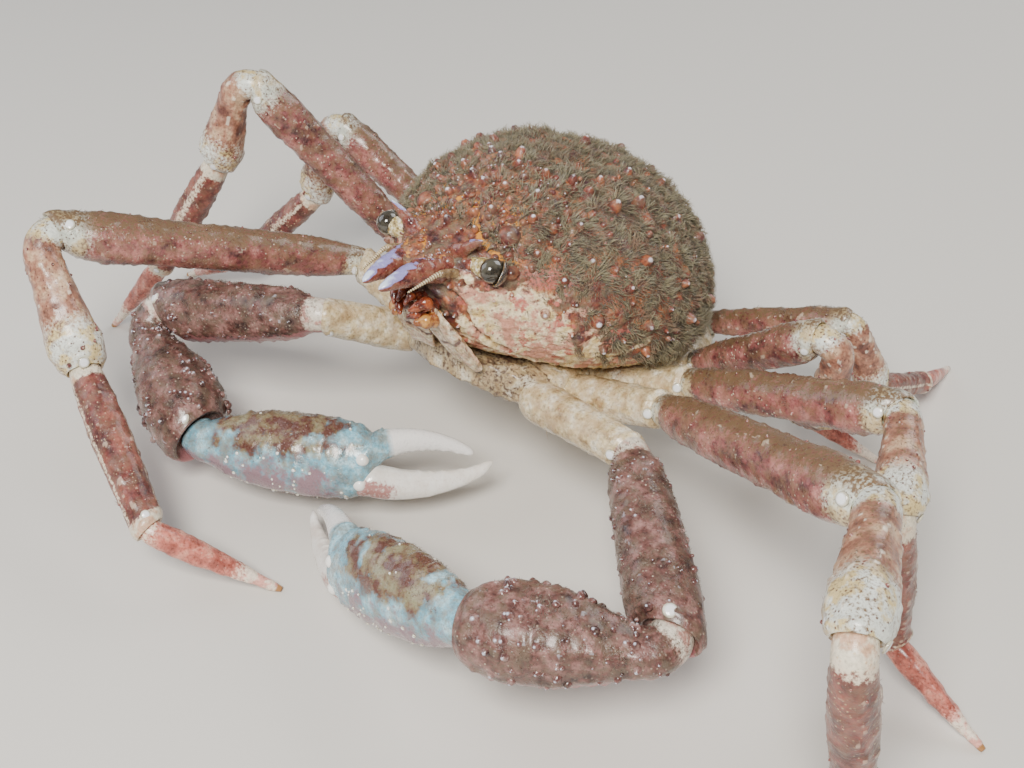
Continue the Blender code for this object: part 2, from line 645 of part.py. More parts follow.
def foot_rings(start, end, start_normal, size, side):
    """Rings of a foot that tapers to a small flat lying on the floor."""
    first = start + start_normal * (GAP / 2)
    neck = size * 0.86
    rings = [ring(first, start_normal, side, neck, neck, LEG_SIDES)]
    points, tangents, heading, bent = arc_to(first, start_normal, end, neck * 1.25)
    for point, tangent in zip(points, tangents):
        rings.append(ring(point, tangent, side, neck, neck, LEG_SIDES))
    run = (end - bent).length
    for share, depth, width in FOOT_FORM:
        rings.append(ring(bent + heading * (run * share), heading, side, depth * size, width * size, LEG_SIDES))
    tip = ring(end, heading, side, 1.3, 1.3, LEG_SIDES)
    rings.append(cut_ring(tip, heading, Vector((end.x, end.y, 0)), Vector((0, 0, 1))))
    return rings


def knobs_along(start, end, side, radius, kind, count, seed, helpers, spread=1.0):
    """Tubercles in loose rows over the upper side of a claw segment."""
    scatter = random.Random(seed)
    way = (end - start).normalized()
    deep, wide = frame_across(way, side)
    for k in range(count):
        share = 0.16 + 0.68 * (k + scatter.uniform(0.2, 0.8)) / count
        turn = scatter.uniform(-1, 1) * 1.9 * spread
        outward = deep * math.cos(turn) + wide * math.sin(turn)
        if outward.z < -0.4:
            outward = -outward
        foot = start.lerp(end, share) + outward * radius
        spine("knob", foot, outward, kind, helpers, 5, scatter.uniform(0.85, 1.2))


def claw(word, parts, helpers):
    """One pincer limb: base, merus, carpus, palm with its fixed finger, and the hinged finger."""
    sign = 1 if word == "left" else -1
    end, poses = CLAW_POSES[word]
    name = "claw_" + word
    joints = [Vector(end) + Vector((0, 0, BODY_HEIGHT))]
    ways = []
    for (heading, rise), length in zip(poses, CLAW_LENGTHS):
        ways.append(direction(heading, rise))
        joints.append(joints[-1] + ways[-1] * length)
    side = chain_side(ways[:3])
    normal, _ = root_piece(name + "_base", "claw", sign, joints[0], ways[0], parts)
    for k, label in enumerate(("merus", "carpus")):
        after = joint_normal(ways[k], ways[k + 1])
        size = CLAW_SIZES[k]
        rings = segment_rings(joints[k], joints[k + 1], normal, after, CLAW_NECKS[k], CLAW_FORMS[k], size,
                              size * 0.86, side, CLAW_SIDES)
        item = loft(name + "_" + label, rings, parts, material(name + "_" + label, "claw_arm"))
        flip_inward(item)
        knobs_along(joints[k], joints[k + 1], side, size * 0.9, "medium", (12, 15)[k], 5 + k + 10 * sign,
                    helpers)
        unite(item, helpers)
        normal = after
    palm(name, joints, ways, normal, parts, helpers)


def palm(name, joints, ways, normal, parts, helpers):
    way = ways[2]
    high = (CLAW_UP - way * CLAW_UP.dot(way)).normalized()
    thick = way.cross(high)
    start = joints[2] + normal * (GAP / 2)
    end = joints[3]
    rings = [ring(start, normal, thick, 9.4, 9.4, CLAW_SIDES)]
    points, tangents, heading, bent = arc_to(start, normal, end, 11.5)
    for point, tangent in zip(points, tangents):
        rings.append(ring(point, tangent, thick, 9.8, 9.4, CLAW_SIDES))
    run = (end - bent).length
    for share, deep, wide in PALM_FORM:
        rings.append(ring(bent + heading * (run * share), heading, thick, deep, wide, CLAW_SIDES))
    item = loft(name + "_palm", rings, parts, material(name + "_palm", "palm", 0.4))
    flip_inward(item)
    bend = ways[3]
    fixed_root = end + high * 7.6 - heading * 6
    fixed_tip = end + high * 3.4 + bend * (CLAW_LENGTHS[3] - 8) - heading * 1
    rings = finger_rings(fixed_root, fixed_tip, high * 4.2, thick, FIXED_FINGER_FORM)
    flip_inward(loft("fixed_finger", rings, helpers, apex=fixed_tip))
    knobs_along(joints[2], joints[3], thick, 13.5, "small", 12, 31, helpers, 0.8)
    unite(item, helpers)
    root = end - high * 7.2 + heading * (GAP * 1.5)
    tip = end - high * 1.8 + bend * CLAW_LENGTHS[3]
    rings = finger_rings(root, tip, high * -4.0, thick, HINGED_FINGER_FORM)
    rings[0] = cut_ring(rings[0], (tip - root).normalized(), root, heading)
    item = loft(name + "_dactyl", rings, parts, material(name + "_dactyl", "finger", 0.25), apex=tip)
    flip_inward(item)


def finger_rings(root, tip, bow, thick, stations):
    """Rings of a tapering finger that bows aside half-way."""
    way = (tip - root).normalized()
    rings = []
    for share, deep, wide in stations:
        centre = root.lerp(tip, share) + bow * (4 * share * (1 - share))
        slope = ((tip - root) + bow * (4 - 8 * share)).normalized()
        rings.append(ring(centre, way if share == 0 else slope, thick, deep, wide, CLAW_SIDES))
    return rings


def settle(parts):
    """Move the whole crab in plan until its box is centred on the origin."""
    points = np.array([v.co for item in parts.objects for v in item.data.vertices])
    low = points.min(axis=0)
    high = points.max(axis=0)
    shift = Vector((-(low[0] + high[0]) / 2, -(low[1] + high[1]) / 2, 0))
    for item in parts.objects:
        item.data.transform(Matrix.Translation(shift))
        item.data.update()


def main():
    for item in list(bpy.data.objects):
        bpy.data.objects.remove(item)
    scene = bpy.context.scene
    parts = bpy.data.collections.new("sheep_crab")
    helpers = bpy.data.collections.new("cutters")
    scene.collection.children.link(parts)
    scene.collection.children.link(helpers)
    shell = carapace(parts, helpers)
    underside(parts)
    eyes_and_antennae(parts, shell, helpers)
    for word in ("left", "right"):
        claw(word, parts, helpers)
        for number in ("leg2", "leg3", "leg4", "leg5"):
            leg(number + "_" + word, parts)
    settle(parts)


main()
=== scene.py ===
"""Looks of a life-size sheep crab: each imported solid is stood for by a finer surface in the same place.

Every surface is a grid of points worked out from two parameters (along and round) as whole arrays, in
millimetres, and put into a mesh in metres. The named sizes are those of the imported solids.
"""
import math

import bpy
import numpy as np
from mathutils import Matrix, Vector


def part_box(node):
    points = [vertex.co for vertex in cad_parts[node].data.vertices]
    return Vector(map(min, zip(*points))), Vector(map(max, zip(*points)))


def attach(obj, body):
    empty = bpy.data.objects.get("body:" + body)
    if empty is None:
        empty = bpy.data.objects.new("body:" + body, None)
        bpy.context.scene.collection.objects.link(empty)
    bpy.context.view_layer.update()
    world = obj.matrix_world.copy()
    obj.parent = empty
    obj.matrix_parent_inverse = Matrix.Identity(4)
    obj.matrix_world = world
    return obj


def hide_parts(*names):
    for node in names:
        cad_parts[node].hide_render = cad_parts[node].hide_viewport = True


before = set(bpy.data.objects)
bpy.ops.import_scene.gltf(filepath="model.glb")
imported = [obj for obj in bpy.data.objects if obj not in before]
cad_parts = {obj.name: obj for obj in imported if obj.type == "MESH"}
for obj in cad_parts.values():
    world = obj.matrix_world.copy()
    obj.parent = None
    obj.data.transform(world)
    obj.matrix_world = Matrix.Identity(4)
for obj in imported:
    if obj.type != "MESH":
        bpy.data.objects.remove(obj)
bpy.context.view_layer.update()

MM = 0.001
SIDES = ((1, "left"), (-1, "right"))

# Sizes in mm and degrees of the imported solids; body-frame places are (forward, left, up)
GAP = 0.4
NOSE_UP = 14.0
LEFT_UP = 3.0
BODY_HEIGHT = 102.5

OUTLINE_CENTRE = -8.0
OUTLINE_BEARINGS = (0, 18, 36, 56, 80, 102, 130, 156, 180)
OUTLINE_RADII = (74, 70, 66, 68, 72, 74, 73, 71, 69)
RIM_LEVEL = -15.0
BRANCHIAL_SAG = 5.0
DOME_HEIGHT = 53.0
BELLY_DEPTH = 33.0
FLOOR_OF_SHELL = -42.0
FRONT_BREAK = 46.0
FRONT_SLOPE = 1.25
STERNUM_HALF_WIDTH = 44.0
STERNUM_NOSE = 14.0
CLAW_CORNER = (38.0, 34.0)
SHOULDER = 22.0
STERNUM_DEPTH = 64.5
CHEST_DEPTH = 53.0
COXA_LEVEL = -54.0

# Low swellings and dips of the back: (height, forward, left, reach), on both sides
SWELLINGS = ((2.8, 22, 0, 19), (3.4, -24, 34, 22), (2.4, -46, 0, 15), (-2.6, -6, 17, 9))
# A degree of bearing is this share of a degree of slant over the skin
BEARING_SHARE = 0.9

MUZZLE_BULGE = 0.12
MUZZLE_SLANT = 68.0
ROSTRUM = ((44, 0, 6), (77, 0, 1.5))
# Rostrum along its length: (share, half depth, half width)
ROSTRUM_FORM = ((0, 8.6, 12), (0.6, 8.2, 12.8), (0.86, 6.4, 10.5), (1.0, 2.6, 5.5))
HORN = ((65, 7.4, 1.0), (95, 4.6, -3.8))
BROW_SPINE = ((60.5, 12, 8), (63, 26, 17.9))
ORBIT_CUP = ((47, 29, 2), (57, 37, 7.5))
CHEEK_SPINES = (((59, 17, -2), (66.5, 19.5, -2)), ((52, 21, -6), (59, 24.5, -8)))
# Radii of the horns, brows, orbits and cheek spines at their roots
HORN_RADIUS = 6.6
BROW_RADIUS = 3.4
ORBIT_RADIUS = 4.4
CHEEK_RADII = (3.1, 3.6)
EYE = ((57, 15, 4), (59.5, 29.5, 6.2))
EYE_RADIUS = 4.9
STALK_RADIUS = 2.8
SOCKET_RADII = (5.3, 6.4)
SOCKET_OPENING = math.radians(64)
FEELER = ((61, 15, 0.5), (74.5, 15.5, 2.6), (88, 13, -3.4))
# Radii of an antenna at its three places, and the length of a bead of its whip
FEELER_RADII = (2.2, 1.55, 0.5)
BEAD_LENGTH = 1.05
# Stations of an outer mouth plate: (forward, left, half width, half depth)
MOUTH_PLATE = ((46.4, 11.6, 11.0, 2.6), (53, 11.2, 10.6, 3.0), (60, 9.6, 9.0, 3.0), (67.9, 7.2, 6.2, 2.6))
# Palps: places along each, its radii there, and how pale it is
PALPS = (
    (((66, 7.5, -16), (73, 8.6, -12.6), (77.4, 4.0, -17)), (2.8, 2.5, 0.8), 0),
    (((66, 4.5, -18), (73, 5.4, -18.5), (75.6, 1.6, -21)), (2.7, 2.1, 0.7), 0),
    (((67, 2.2, -13), (75, 2.6, -11.5), (78, 2.0, -15)), (1.9, 1.6, 0.5), 0),
    (((65, 9.8, -20), (71, 9.4, -20.6), (75, 5, -22)), (3.0, 2.9, 1.0), 0.85),
)

# Limbs: first joint from the body's origin, then (heading, rise) of each segment, and of feet the heading
CLAW_LENGTHS = (87.0, 70.0, 79.0, 52.0)
CLAW_POSES = {
    "left": ((96, -48, -36), ((50, -7), (-54, -3), (-93, -18), (-113, -17))),
    "right": ((-52, -78, -28), ((-69, -13), (65, -21), (120, 1), (142, -6))),
}
LEG_LENGTHS = {
    "leg2": (137.0, 61.0, 80.0),
    "leg3": (102.0, 46.0, 71.0),
    "leg4": (78.0, 43.0, 60.0),
    "leg5": (68.0, 38.0, 52.0),
}
FOOT_LENGTHS = {"leg2": 59.0, "leg3": 50.0, "leg4": 45.0, "leg5": 40.0}
LEG_POSES = {
    "leg2_left": ((91, -21, -33), ((69, 23), (27, 3), (158, -81)), -112),
    "leg2_right": ((-82, -31, -36), ((-29, 17), (64, -47), (73, -23)), 130),
    "leg3_left": ((84, 5, -38), ((89, 22), (33, -11), (162, -80)), 88),
    "leg3_right": ((-86, 1, -41), ((-53, 50), (-48, -61), (-49, -58)), -56),
    "leg4_left": ((69, 29, -49), ((85, 38), (165, -78), (-140, -38)), 120),
    "leg4_right": ((-76, 27, -47), ((-70, 38), (-54, -66), (-56, -45)), -72),
    "leg5_left": ((50, 63, -54), ((104, 20), (130, -64), (178, -26)), -172),
    "leg5_right": ((-50, 58, -55), ((-128, 2), (-128, -10), (-127, -33)), -140),
}
ROOT_FORWARD = {"leg2": 12.0, "leg3": -8.0, "leg4": -27.0, "leg5": -46.5}
ROOT_RADIUS = {"claw": 9.3, "leg2": 9.2, "leg3": 8.8, "leg4": 8.2, "leg5": 7.2}
MAX_MITRE = math.radians(33.0)
CLAW_UP = np.array((-0.43, 0.44, 0.79))
# Forms of the segments: (share of the length, depth, width), the sizes as shares of the segment's own
MERUS_FORM = ((0.10, 0.84, 0.82), (0.32, 0.96, 0.92), (0.62, 0.98, 0.94), (0.84, 1.10, 1.02))
CARPUS_FORM = ((0.20, 0.80, 0.78), (0.50, 0.98, 0.94), (0.80, 1.18, 1.08))
PROPODUS_FORM = ((0.12, 0.92, 0.90), (0.40, 1.00, 0.94), (0.75, 0.88, 0.84))
FOOT_FORM = ((0.10, 0.95, 0.92), (0.35, 0.86, 0.80), (0.62, 0.62, 0.58), (0.84, 0.38, 0.36))
COXA_FORM = ((0.35, 0.94, 0.94), (0.66, 0.90, 0.90))
LEG_SIZES = {
    "leg2": (10.4, 10.4, 8.4, 6.0),
    "leg3": (9.0, 9.0, 7.4, 5.4),
    "leg4": (8.2, 8.2, 6.8, 4.9),
    "leg5": (6.9, 7.0, 5.8, 4.3),
}
CLAW_SIZES = (13.2, 17.4)
CLAW_NECKS = (8.2, 9.6)
CLAW_FORMS = (((0.12, 0.84, 0.82), (0.34, 0.96, 0.94), (0.64, 1.04, 1.02), (0.84, 1.08, 1.04)),
              ((0.16, 0.72, 0.72), (0.44, 1.00, 0.98), (0.74, 1.08, 1.04)))

# Hand: its neck as (depth, width) at the sunk end, the joint and the end of the bend, then the palm and both
# fingers as (share of the length, depth, width)
PALM_SUNK = 2.2
PALM_BEND = 11.5
PALM_NECK = ((8.4, 8.4), (9.0, 9.0), (9.6, 9.4))
PALM_FORM = ((0.14, 13.4, 10.8), (0.34, 16.6, 12.6), (0.60, 17.6, 13.0), (0.82, 16.8, 11.8),
             (0.97, 14.6, 9.6))
FIXED_FINGER_FORM = ((0, 11.6, 8.6), (0.03, 8.6, 7.4), (0.08, 6.5, 6.1), (0.20, 5.7, 5.4), (0.45, 4.6, 4.2),
                     (0.70, 3.4, 3.0), (0.90, 2.3, 2.0), (0.97, 1.7, 1.5), (1.0, 0.5, 0.4))
MOVING_FINGER_FORM = ((-0.13, 6.9, 6.4), (0.0, 7.2, 6.9), (0.10, 7.2, 6.8), (0.34, 6.1, 5.6),
                      (0.60, 4.7, 4.2), (0.84, 3.1, 2.7), (0.95, 2.1, 1.8), (1.0, 0.5, 0.4))
# Height of the fingers' roots over and under the palm's axis, their bows, and the length that the pattern
# of teeth and warts takes the fixed one to have
FINGER_RISE = 7.2
FIXED_BOW = 4.2
MOVING_BOW = -4.6
FINGER_SPAN = 46
TOOTH_PITCH = 2.9
CREST_PITCH = 5.0

# Tubercles in rows on both sides of the shell: (kind, slant, bearings), kinds as (radius, height)
KINDS = {
    "large": (2.9, 4.3),
    "boss": (4.4, 2.7),
    "medium": (2.2, 3.0),
    "low": (2.2, 2.1),
    "fine": (1.5, 1.7),
}
SPINE_ROWS = (
    ("large", 84, (42, 60, 78, 97, 116, 136)),
    ("large", 58, (80, 118)),
    ("large", 36, (74, 90)),
    ("boss", 54, (24,)),
    ("medium", 101, (64, 80, 104)),
    ("medium", 69, (47, 71, 96, 160)),
    ("medium", 60, (36, 57, 140)),
    ("medium", 46, (13, 31, 53, 108)),
    ("medium", 35, (12, 30, 124, 150)),
    ("medium", 24, (9, 30, 52, 74, 102)),
    ("low", 48, (6, 22, 41, 66, 86)),
    ("low", 40, (18, 31, 47, 60)),
    ("low", 29, (18, 41, 62)),
    ("low", 62, (12, 26, 66, 104, 128)),
    ("fine", 54, (11, 48, 92)),
    ("fine", 78, (11, 30, 52, 88, 106, 150)),
    ("fine", 92, (52, 70, 88, 124)),
)
MIDLINE_SPINES = (("medium", 0, (54, 36)), ("large", 0, (18,)), ("large", 180, (12, 34, 56, 78)))

# Seam between the shell's flank and the plate below it, as (bearing, slant) from the mouth backward
PLEURAL_SEAM = ((8, 80), (14, 85), (17, 96), (22, 107), (27, 115), (35, 124), (47, 131), (60, 134),
                (90, 132), (120, 128), (150, 124), (178, 122))
# Orange furrow in front of the knobbed middle of the back, as (bearing, slant)
FURROW = ((4, 44), (9, 51), (15, 57), (18, 59), (22, 62), (29, 64))
# Grooves of the back in plan (forward, left), on both sides
NECK_GROOVE = ((-7, 0), (-3, 13), (7, 25), (22, 33), (38, 37))
GILL_GROOVE = ((-5, 15), (-22, 18), (-40, 15), (-56, 13))
FRONT_GROOVE = ((51, 0), (48.5, 9), (50, 16), (49, 23), (45, 30))
# Depths in mm of the neck and gill grooves, the front groove, the seam and the orange furrow
GROOVE_DEPTH = 1.7
FRONT_DEPTH = 1.3
SEAM_DEPTH = 2.4
FURROW_DEPTH = 0.8


# Places and directions

def unit(v):
    """Vectors divided by their lengths."""
    return v / np.linalg.norm(v, axis=-1, keepdims=True)


def spun(v, axis, angle):
    """v turned about a unit axis by each angle: v cos + (axis x v) sin + axis (axis.v)(1 - cos)."""
    angle = np.asarray(angle, float)[..., None]
    return v * np.cos(angle) + np.cross(axis, v) * np.sin(angle) + axis * (axis @ v) * (1 - np.cos(angle))


def body_direction(forward, left, up):
    """World direction of a body-frame one: rolled LEFT_UP about its length, then pitched NOSE_UP."""
    forward, left, up = (np.asarray(c, float) for c in (forward, left, up))
    roll = math.radians(-LEFT_UP)
    pitch = math.radians(-NOSE_UP)
    x = math.cos(roll) * left + math.sin(roll) * up
    z = math.cos(roll) * up - math.sin(roll) * left
    y = -forward
    return np.stack(np.broadcast_arrays(x, math.cos(pitch) * y - math.sin(pitch) * z,
                                        math.sin(pitch) * y + math.cos(pitch) * z), -1)


def sternum_corners():
    """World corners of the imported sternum, still round the body's own origin."""
    corners = []
    for forward, wide in ((FRONT_BREAK, STERNUM_NOSE), CLAW_CORNER, (SHOULDER, STERNUM_HALF_WIDTH),
                          (-54, STERNUM_HALF_WIDTH), (-62, 30)):
        bottom = 1.5 - STERNUM_DEPTH + (11.5 if forward == FRONT_BREAK else 0)
        corners += [body_direction(forward, side * wide, level) for side in (-1, 1)
                    for level in (FLOOR_OF_SHELL - GAP, bottom)]
    return np.array(corners)


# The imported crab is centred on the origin, so its sternum's box tells where the body's own origin went
PLAN_SHIFT = np.array(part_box("sternum")[0])[:2] / MM - sternum_corners()[:, :2].min(0)
BODY = np.array((PLAN_SHIFT[0], PLAN_SHIFT[1], BODY_HEIGHT))


def body_point(forward, left, up):
    """World place in mm of a body-frame point."""
    return body_direction(forward, left, up) + BODY


def heading_direction(heading, rise):
    """World direction from a heading in plan, 0 ahead and 90 to the crab's left, and a rise above level."""
    h = math.radians(heading)
    r = math.radians(rise)
    return np.array((math.sin(h) * math.cos(r), -math.cos(h) * math.cos(r), math.sin(r)))


def joint_normal(before, after):
    """Normal of a joint's plane: half-way between two directions, at most MAX_MITRE off the first."""
    turn = math.acos(np.clip(before @ after, -1, 1))
    if turn < 1e-4:
        return before
    return spun(before, unit(np.cross(before, after)), min(turn / 2, MAX_MITRE))


def chain_side(ways):
    """Axis that a limb bends about: the sum of the cross products of its directions, all turned one way."""
    total = np.zeros(3)
    for a, b in zip(ways, ways[1:]):
        turn = np.cross(a, b)
        total = total + (turn if turn @ total >= 0 else -turn)
    return unit(total)


def folded_bearing(bearing):
    """Bearing from straight ahead, the same on both sides: 0 to 180."""
    return np.abs((np.asarray(bearing) + 180) % 360 - 180)


def bell(x, middle, reach):
    """e to the power -((x - middle) / reach)^2."""
    return np.exp(-((x - middle) / reach) ** 2)


def smoothstep(x, low, high):
    """0 below low, 1 above high, 3t^2 - 2t^3 between."""
    t = np.clip((x - low) / (high - low), 0, 1)
    return t * t * (3 - 2 * t)


def eased(x, knots, values, reach):
    """Straight lines through the knots, averaged over a bell of the given reach."""
    offsets = np.linspace(-2, 2, 17)
    weights = np.exp(-offsets ** 2)
    total = sum(w * np.interp(x + o * reach, knots, values) for o, w in zip(offsets, weights))
    return total / weights.sum()


def formed(x, form, reach):
    """Depth and width at x of a form, given as rows of (place, depth, width), each eased over reach."""
    places, deep, wide = zip(*form)
    return eased(x, places, deep, reach), eased(x, places, wide, reach)


def ripple(points, pitch, seed, waves=9):
    """Smooth random field from -1 to 1: the mean of sines of random direction and about one pitch."""
    rng = np.random.default_rng(seed)
    ways = unit(rng.normal(size=(waves, 3))) * (2 * math.pi / (pitch * rng.uniform(0.6, 1.6, (waves, 1))))
    return np.sin(points @ ways.T + rng.uniform(0, 7, waves)).sum(-1) / math.sqrt(waves) / 1.2


def full_turn(columns):
    """Angles of the columns of a ring."""
    return np.arange(columns) * 2 * math.pi / columns


def squared_ring(turns, power, wide, deep):
    """Ring between an oval and a box: sign(cos) |cos|^power wide, and the same with sin and deep."""
    x = np.sign(np.cos(turns)) * np.abs(np.cos(turns)) ** power * wide
    z = np.sign(np.sin(turns)) * np.abs(np.sin(turns)) ** power * deep
    return x, z


# Meshes

def put(name, points, quads, tris, surface, marks=None, replaces=(), slot="carapace", patches=None):
    """Mesh object from points in mm and arrays of corners, riding on the crab's one body. Marks are three
    numbers for each point, and patches a place on the bake map for each."""
    quads = np.asarray(quads, np.int64).reshape(-1, 4)
    tris = np.asarray(tris, np.int64).reshape(-1, 3)
    mesh = bpy.data.meshes.new(name)
    corners = np.concatenate((quads.ravel(), tris.ravel()))
    starts = np.concatenate((np.arange(len(quads)) * 4, len(quads) * 4 + np.arange(len(tris)) * 3))
    mesh.vertices.add(len(points))
    mesh.vertices.foreach_set("co", (points * MM).astype(np.float32).ravel())
    mesh.loops.add(len(corners))
    mesh.polygons.add(len(starts))
    mesh.polygons.foreach_set("loop_start", starts)
    mesh.polygons.foreach_set("vertices", corners)
    mesh.update(calc_edges=True)
    mesh.validate()
    mesh.shade_smooth()
    if marks is not None:
        layer = mesh.color_attributes.new("marks", "FLOAT_COLOR", "POINT")
        rgba = np.ones((len(points), 4), np.float32)
        rgba[:, :3] = np.clip(marks, 0, 1)
        layer.data.foreach_set("color", rgba.ravel())
    if patches is not None:
        layer = mesh.uv_layers.new(name="OFBake")
        layer.data.foreach_set("uv", patches[corners].astype(np.float32).ravel())
    mesh.materials.append(surface)
    piece = bpy.data.objects.new(name, mesh)
    bpy.context.scene.collection.objects.link(piece)
    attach(piece, "root")
    if replaces:
        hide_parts(*replaces)
    return piece


def outward(points, quads, tris):
    """Corner arrays turned so that the enclosed volume, a sum of a.(b x c) / 6, comes out positive."""
    fan = np.vstack((quads[:, (0, 1, 2)], quads[:, (0, 2, 3)], tris))
    a, b, c = (points[fan[:, k]] for k in range(3))
    if np.einsum("ij,ij->i", a - points.mean(0), np.cross(b - a, c - a)).sum() < 0:
        return quads[:, ::-1], tris[:, ::-1]
    return quads, tris


def tube_corners(rows, columns):
    """Corners of a grid closed round its columns, with one more point closing each end."""
    row = np.arange(rows - 1)[:, None] * columns
    here = np.arange(columns)[None, :]
    after = (here + 1) % columns
    below = row + columns
    quads = np.stack((row + here, row + after, below + after, below + here), -1).reshape(-1, 4)
    k, j = here[0], after[0]
    last = (rows - 1) * columns
    ends = np.full(columns, rows * columns)
    tris = np.vstack((np.stack((j, k, ends), -1), np.stack((last + k, last + j, ends + 1), -1)))
    return quads, tris


def closed_tube(name, grid, surface, marks=None, node=None, **more):
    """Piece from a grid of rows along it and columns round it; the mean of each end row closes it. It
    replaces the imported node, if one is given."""
    rows, columns = grid.shape[:2]
    if node:
        more.update(replaces=(node,), slot=node)
    points = np.vstack((grid.reshape(-1, 3), grid[0].mean(0), grid[-1].mean(0)))
    quads, tris = outward(points, *tube_corners(rows, columns))
    if marks is not None:
        marks = np.stack(np.broadcast_arrays(*marks), -1) * np.ones((rows, columns, 1))
        marks = np.vstack((marks.reshape(-1, 3), marks[0].mean(0), marks[-1].mean(0)))
    return put(name, points, quads, tris, surface, marks, **more)


def capped(grid):
    """The grid with rings added that draw each of its ends in towards its middle."""
    shares = np.array((0.25, 0.5, 0.75, 0.92))[:, None, None]
    first, last = (end.mean(0) + (end - end.mean(0)) * shares for end in (grid[0], grid[-1]))
    return np.concatenate((first, grid, last[::-1]))


def cross_frames(ways, side):
    """Two unit vectors square to each direction: deep, in the bending plane, and wide, nearest to side."""
    wide = unit(side - ways * (ways @ side)[..., None])
    return np.cross(wide, ways), wide


def oval_rings(centres, ways, side, deep, wide, turns):
    """Rings round each centre: centre + wide cos(turn) - deep sin(turn), with deep and wide in mm."""
    deep_way, wide_way = cross_frames(ways, side)
    return (centres[:, None] + wide_way[:, None] * (wide * np.cos(turns))[..., None]
            - deep_way[:, None] * (deep * np.sin(turns))[..., None])


def bent_path(start, normal, end, radius):
    """Path that leaves start along normal, turns on a circle until it points at end and runs straight.
    Gives a function of the distance along it, for places and directions, and the lengths of both parts."""
    heading = unit(end - start)
    axis, turn, centre, bent = unit(np.cross(normal, heading) + 1e-9), 0.0, start, start
    for _ in range(6):
        turn = math.acos(np.clip(normal @ heading, -1, 1))
        if turn < 1e-4:
            turn = 0.0
            break
        axis = unit(np.cross(normal, heading))
        centre = start + np.cross(axis, normal) * radius
        bent = centre + spun(start - centre, axis, turn)
        heading = unit(end - bent)
    arc = radius * turn

    def walk(distance):
        angle = np.clip(distance, 0, arc) / radius
        before = np.minimum(distance, 0)[:, None] * normal
        after = np.maximum(distance - arc, 0)[:, None] * heading
        if turn:
            return centre + spun(start - centre, axis, angle) + before + after, spun(normal, axis, angle)
        return start + before + after, np.repeat(heading[None], len(distance), 0)

    return walk, arc, float(np.linalg.norm(end - bent)), heading


def wart_height(along, turns, radius, spots):
    """Sum over warts of height * exp(-(distance along^2 + distance round^2) / reach^2)."""
    place, angle, height, reach = spots
    apart = (turns[..., None] - angle + math.pi) % (2 * math.pi) - math.pi
    away = (along[..., None] - place) ** 2 + (apart * radius[..., None]) ** 2
    return (height * np.exp(-away / reach ** 2)).sum(-1)


def wart_rows(length, pitch, seed, rows=8, height=0.45, reach=1.25):
    """Warts in loose rows along a segment, jittered about a regular pitch."""
    rng = np.random.default_rng(seed)
    count = max(2, int(length / pitch))
    place = (np.arange(count)[None, :] + rng.uniform(-0.35, 0.35, (rows, count)) + 0.5) * length / count
    angle = (np.arange(rows)[:, None] + rng.uniform(-0.22, 0.22, (rows, count))) * 2 * math.pi / rows
    keep = rng.uniform(size=(rows, count)) < 0.82
    return (place[keep], angle[keep] + rng.uniform(0, 6), height * rng.uniform(0.4, 1.5, keep.sum()),
            reach * rng.uniform(0.8, 1.35, keep.sum()))


def domes(name, places, ways, radii, heights, surface, sides=9, slot="carapace", sunk=0.35, blunt=0.5,
          pale=0.0, tipped=1.0):
    """Many pointed knobs as one mesh. Each is a stack of rings, from sunk times its height below its place
    to its tip, whose radius falls with the share t of the height as blunt (1 - t^2)^0.5 + (1 - blunt)
    (1 - t)^1.15. Marks red is t times tipped, and green is each knob's paleness."""
    steps = np.array((-1.0, 0.0, 0.30, 0.58, 0.80, 0.94))
    places, ways = np.asarray(places, float), unit(np.asarray(ways, float))
    radii, heights = np.asarray(radii, float), np.asarray(heights, float)
    side = unit(np.cross(ways, np.array((0.31, 0.17, 0.93))))[:, None, None]
    other = np.cross(ways, side[:, 0, 0])[:, None, None]
    turns = full_turn(sides)[:, None]
    rise = np.where(steps < 0, -sunk, steps)
    t = np.clip(steps, 0, 1)
    fall = np.where(steps < 0, 1.06, blunt * np.sqrt(1 - t ** 2) + (1 - blunt) * (1 - t) ** 1.15)
    rings = (places[:, None, None] + ways[:, None, None] * (heights[:, None] * rise)[..., None, None]
             + (side * np.cos(turns) + other * np.sin(turns)) * (radii[:, None] * fall)[..., None, None])
    count, levels = len(places), len(steps)
    tips = places + ways * heights[:, None]
    stride = levels * sides + 1
    points = np.concatenate((rings.reshape(count, -1, 3), tips[:, None]), 1).reshape(-1, 3)
    marks = np.zeros((count, stride, 3))
    marks[..., 0] = np.append(np.repeat(t, sides), 1.0) * np.broadcast_to(tipped, count)[:, None]
    marks[..., 1] = np.broadcast_to(pale, count)[:, None]
    row = np.arange(levels - 1)[:, None] * sides
    k = np.arange(sides)
    j = (k + 1) % sides
    quads = np.stack((row + k, row + j, row + sides + j, row + sides + k), -1).reshape(-1, 4)
    top = (levels - 1) * sides
    caps = np.stack((top + k, top + j, np.full(sides, stride - 1)), -1)
    foot = np.stack((np.full(sides - 2, sides - 1), k[-2:0:-1], k[-3::-1]), -1)
    base = (np.arange(count) * stride)[:, None, None]
    tris = base + np.vstack((caps, foot))
    return put(name, points, (base + quads).reshape(-1, 4), tris.reshape(-1, 3), surface,
               marks.reshape(-1, 3), slot=slot)


# Materials

# Sizes in mm of the film's patches and the eye's facets, and the flecked areas' size over the blotches'
FILM_PATCH = 5.0
FACET = 0.35
DRIFT_SHARE = 2.3


def linear(hex_text):
    """Linear colour of an sRGB hex text."""
    channels = [int(hex_text[i:i + 2], 16) / 255 for i in (0, 2, 4)]
    return [c / 12.92 if c <= 0.04045 else ((c + 0.055) / 1.055) ** 2.4 for c in channels] + [1.0]


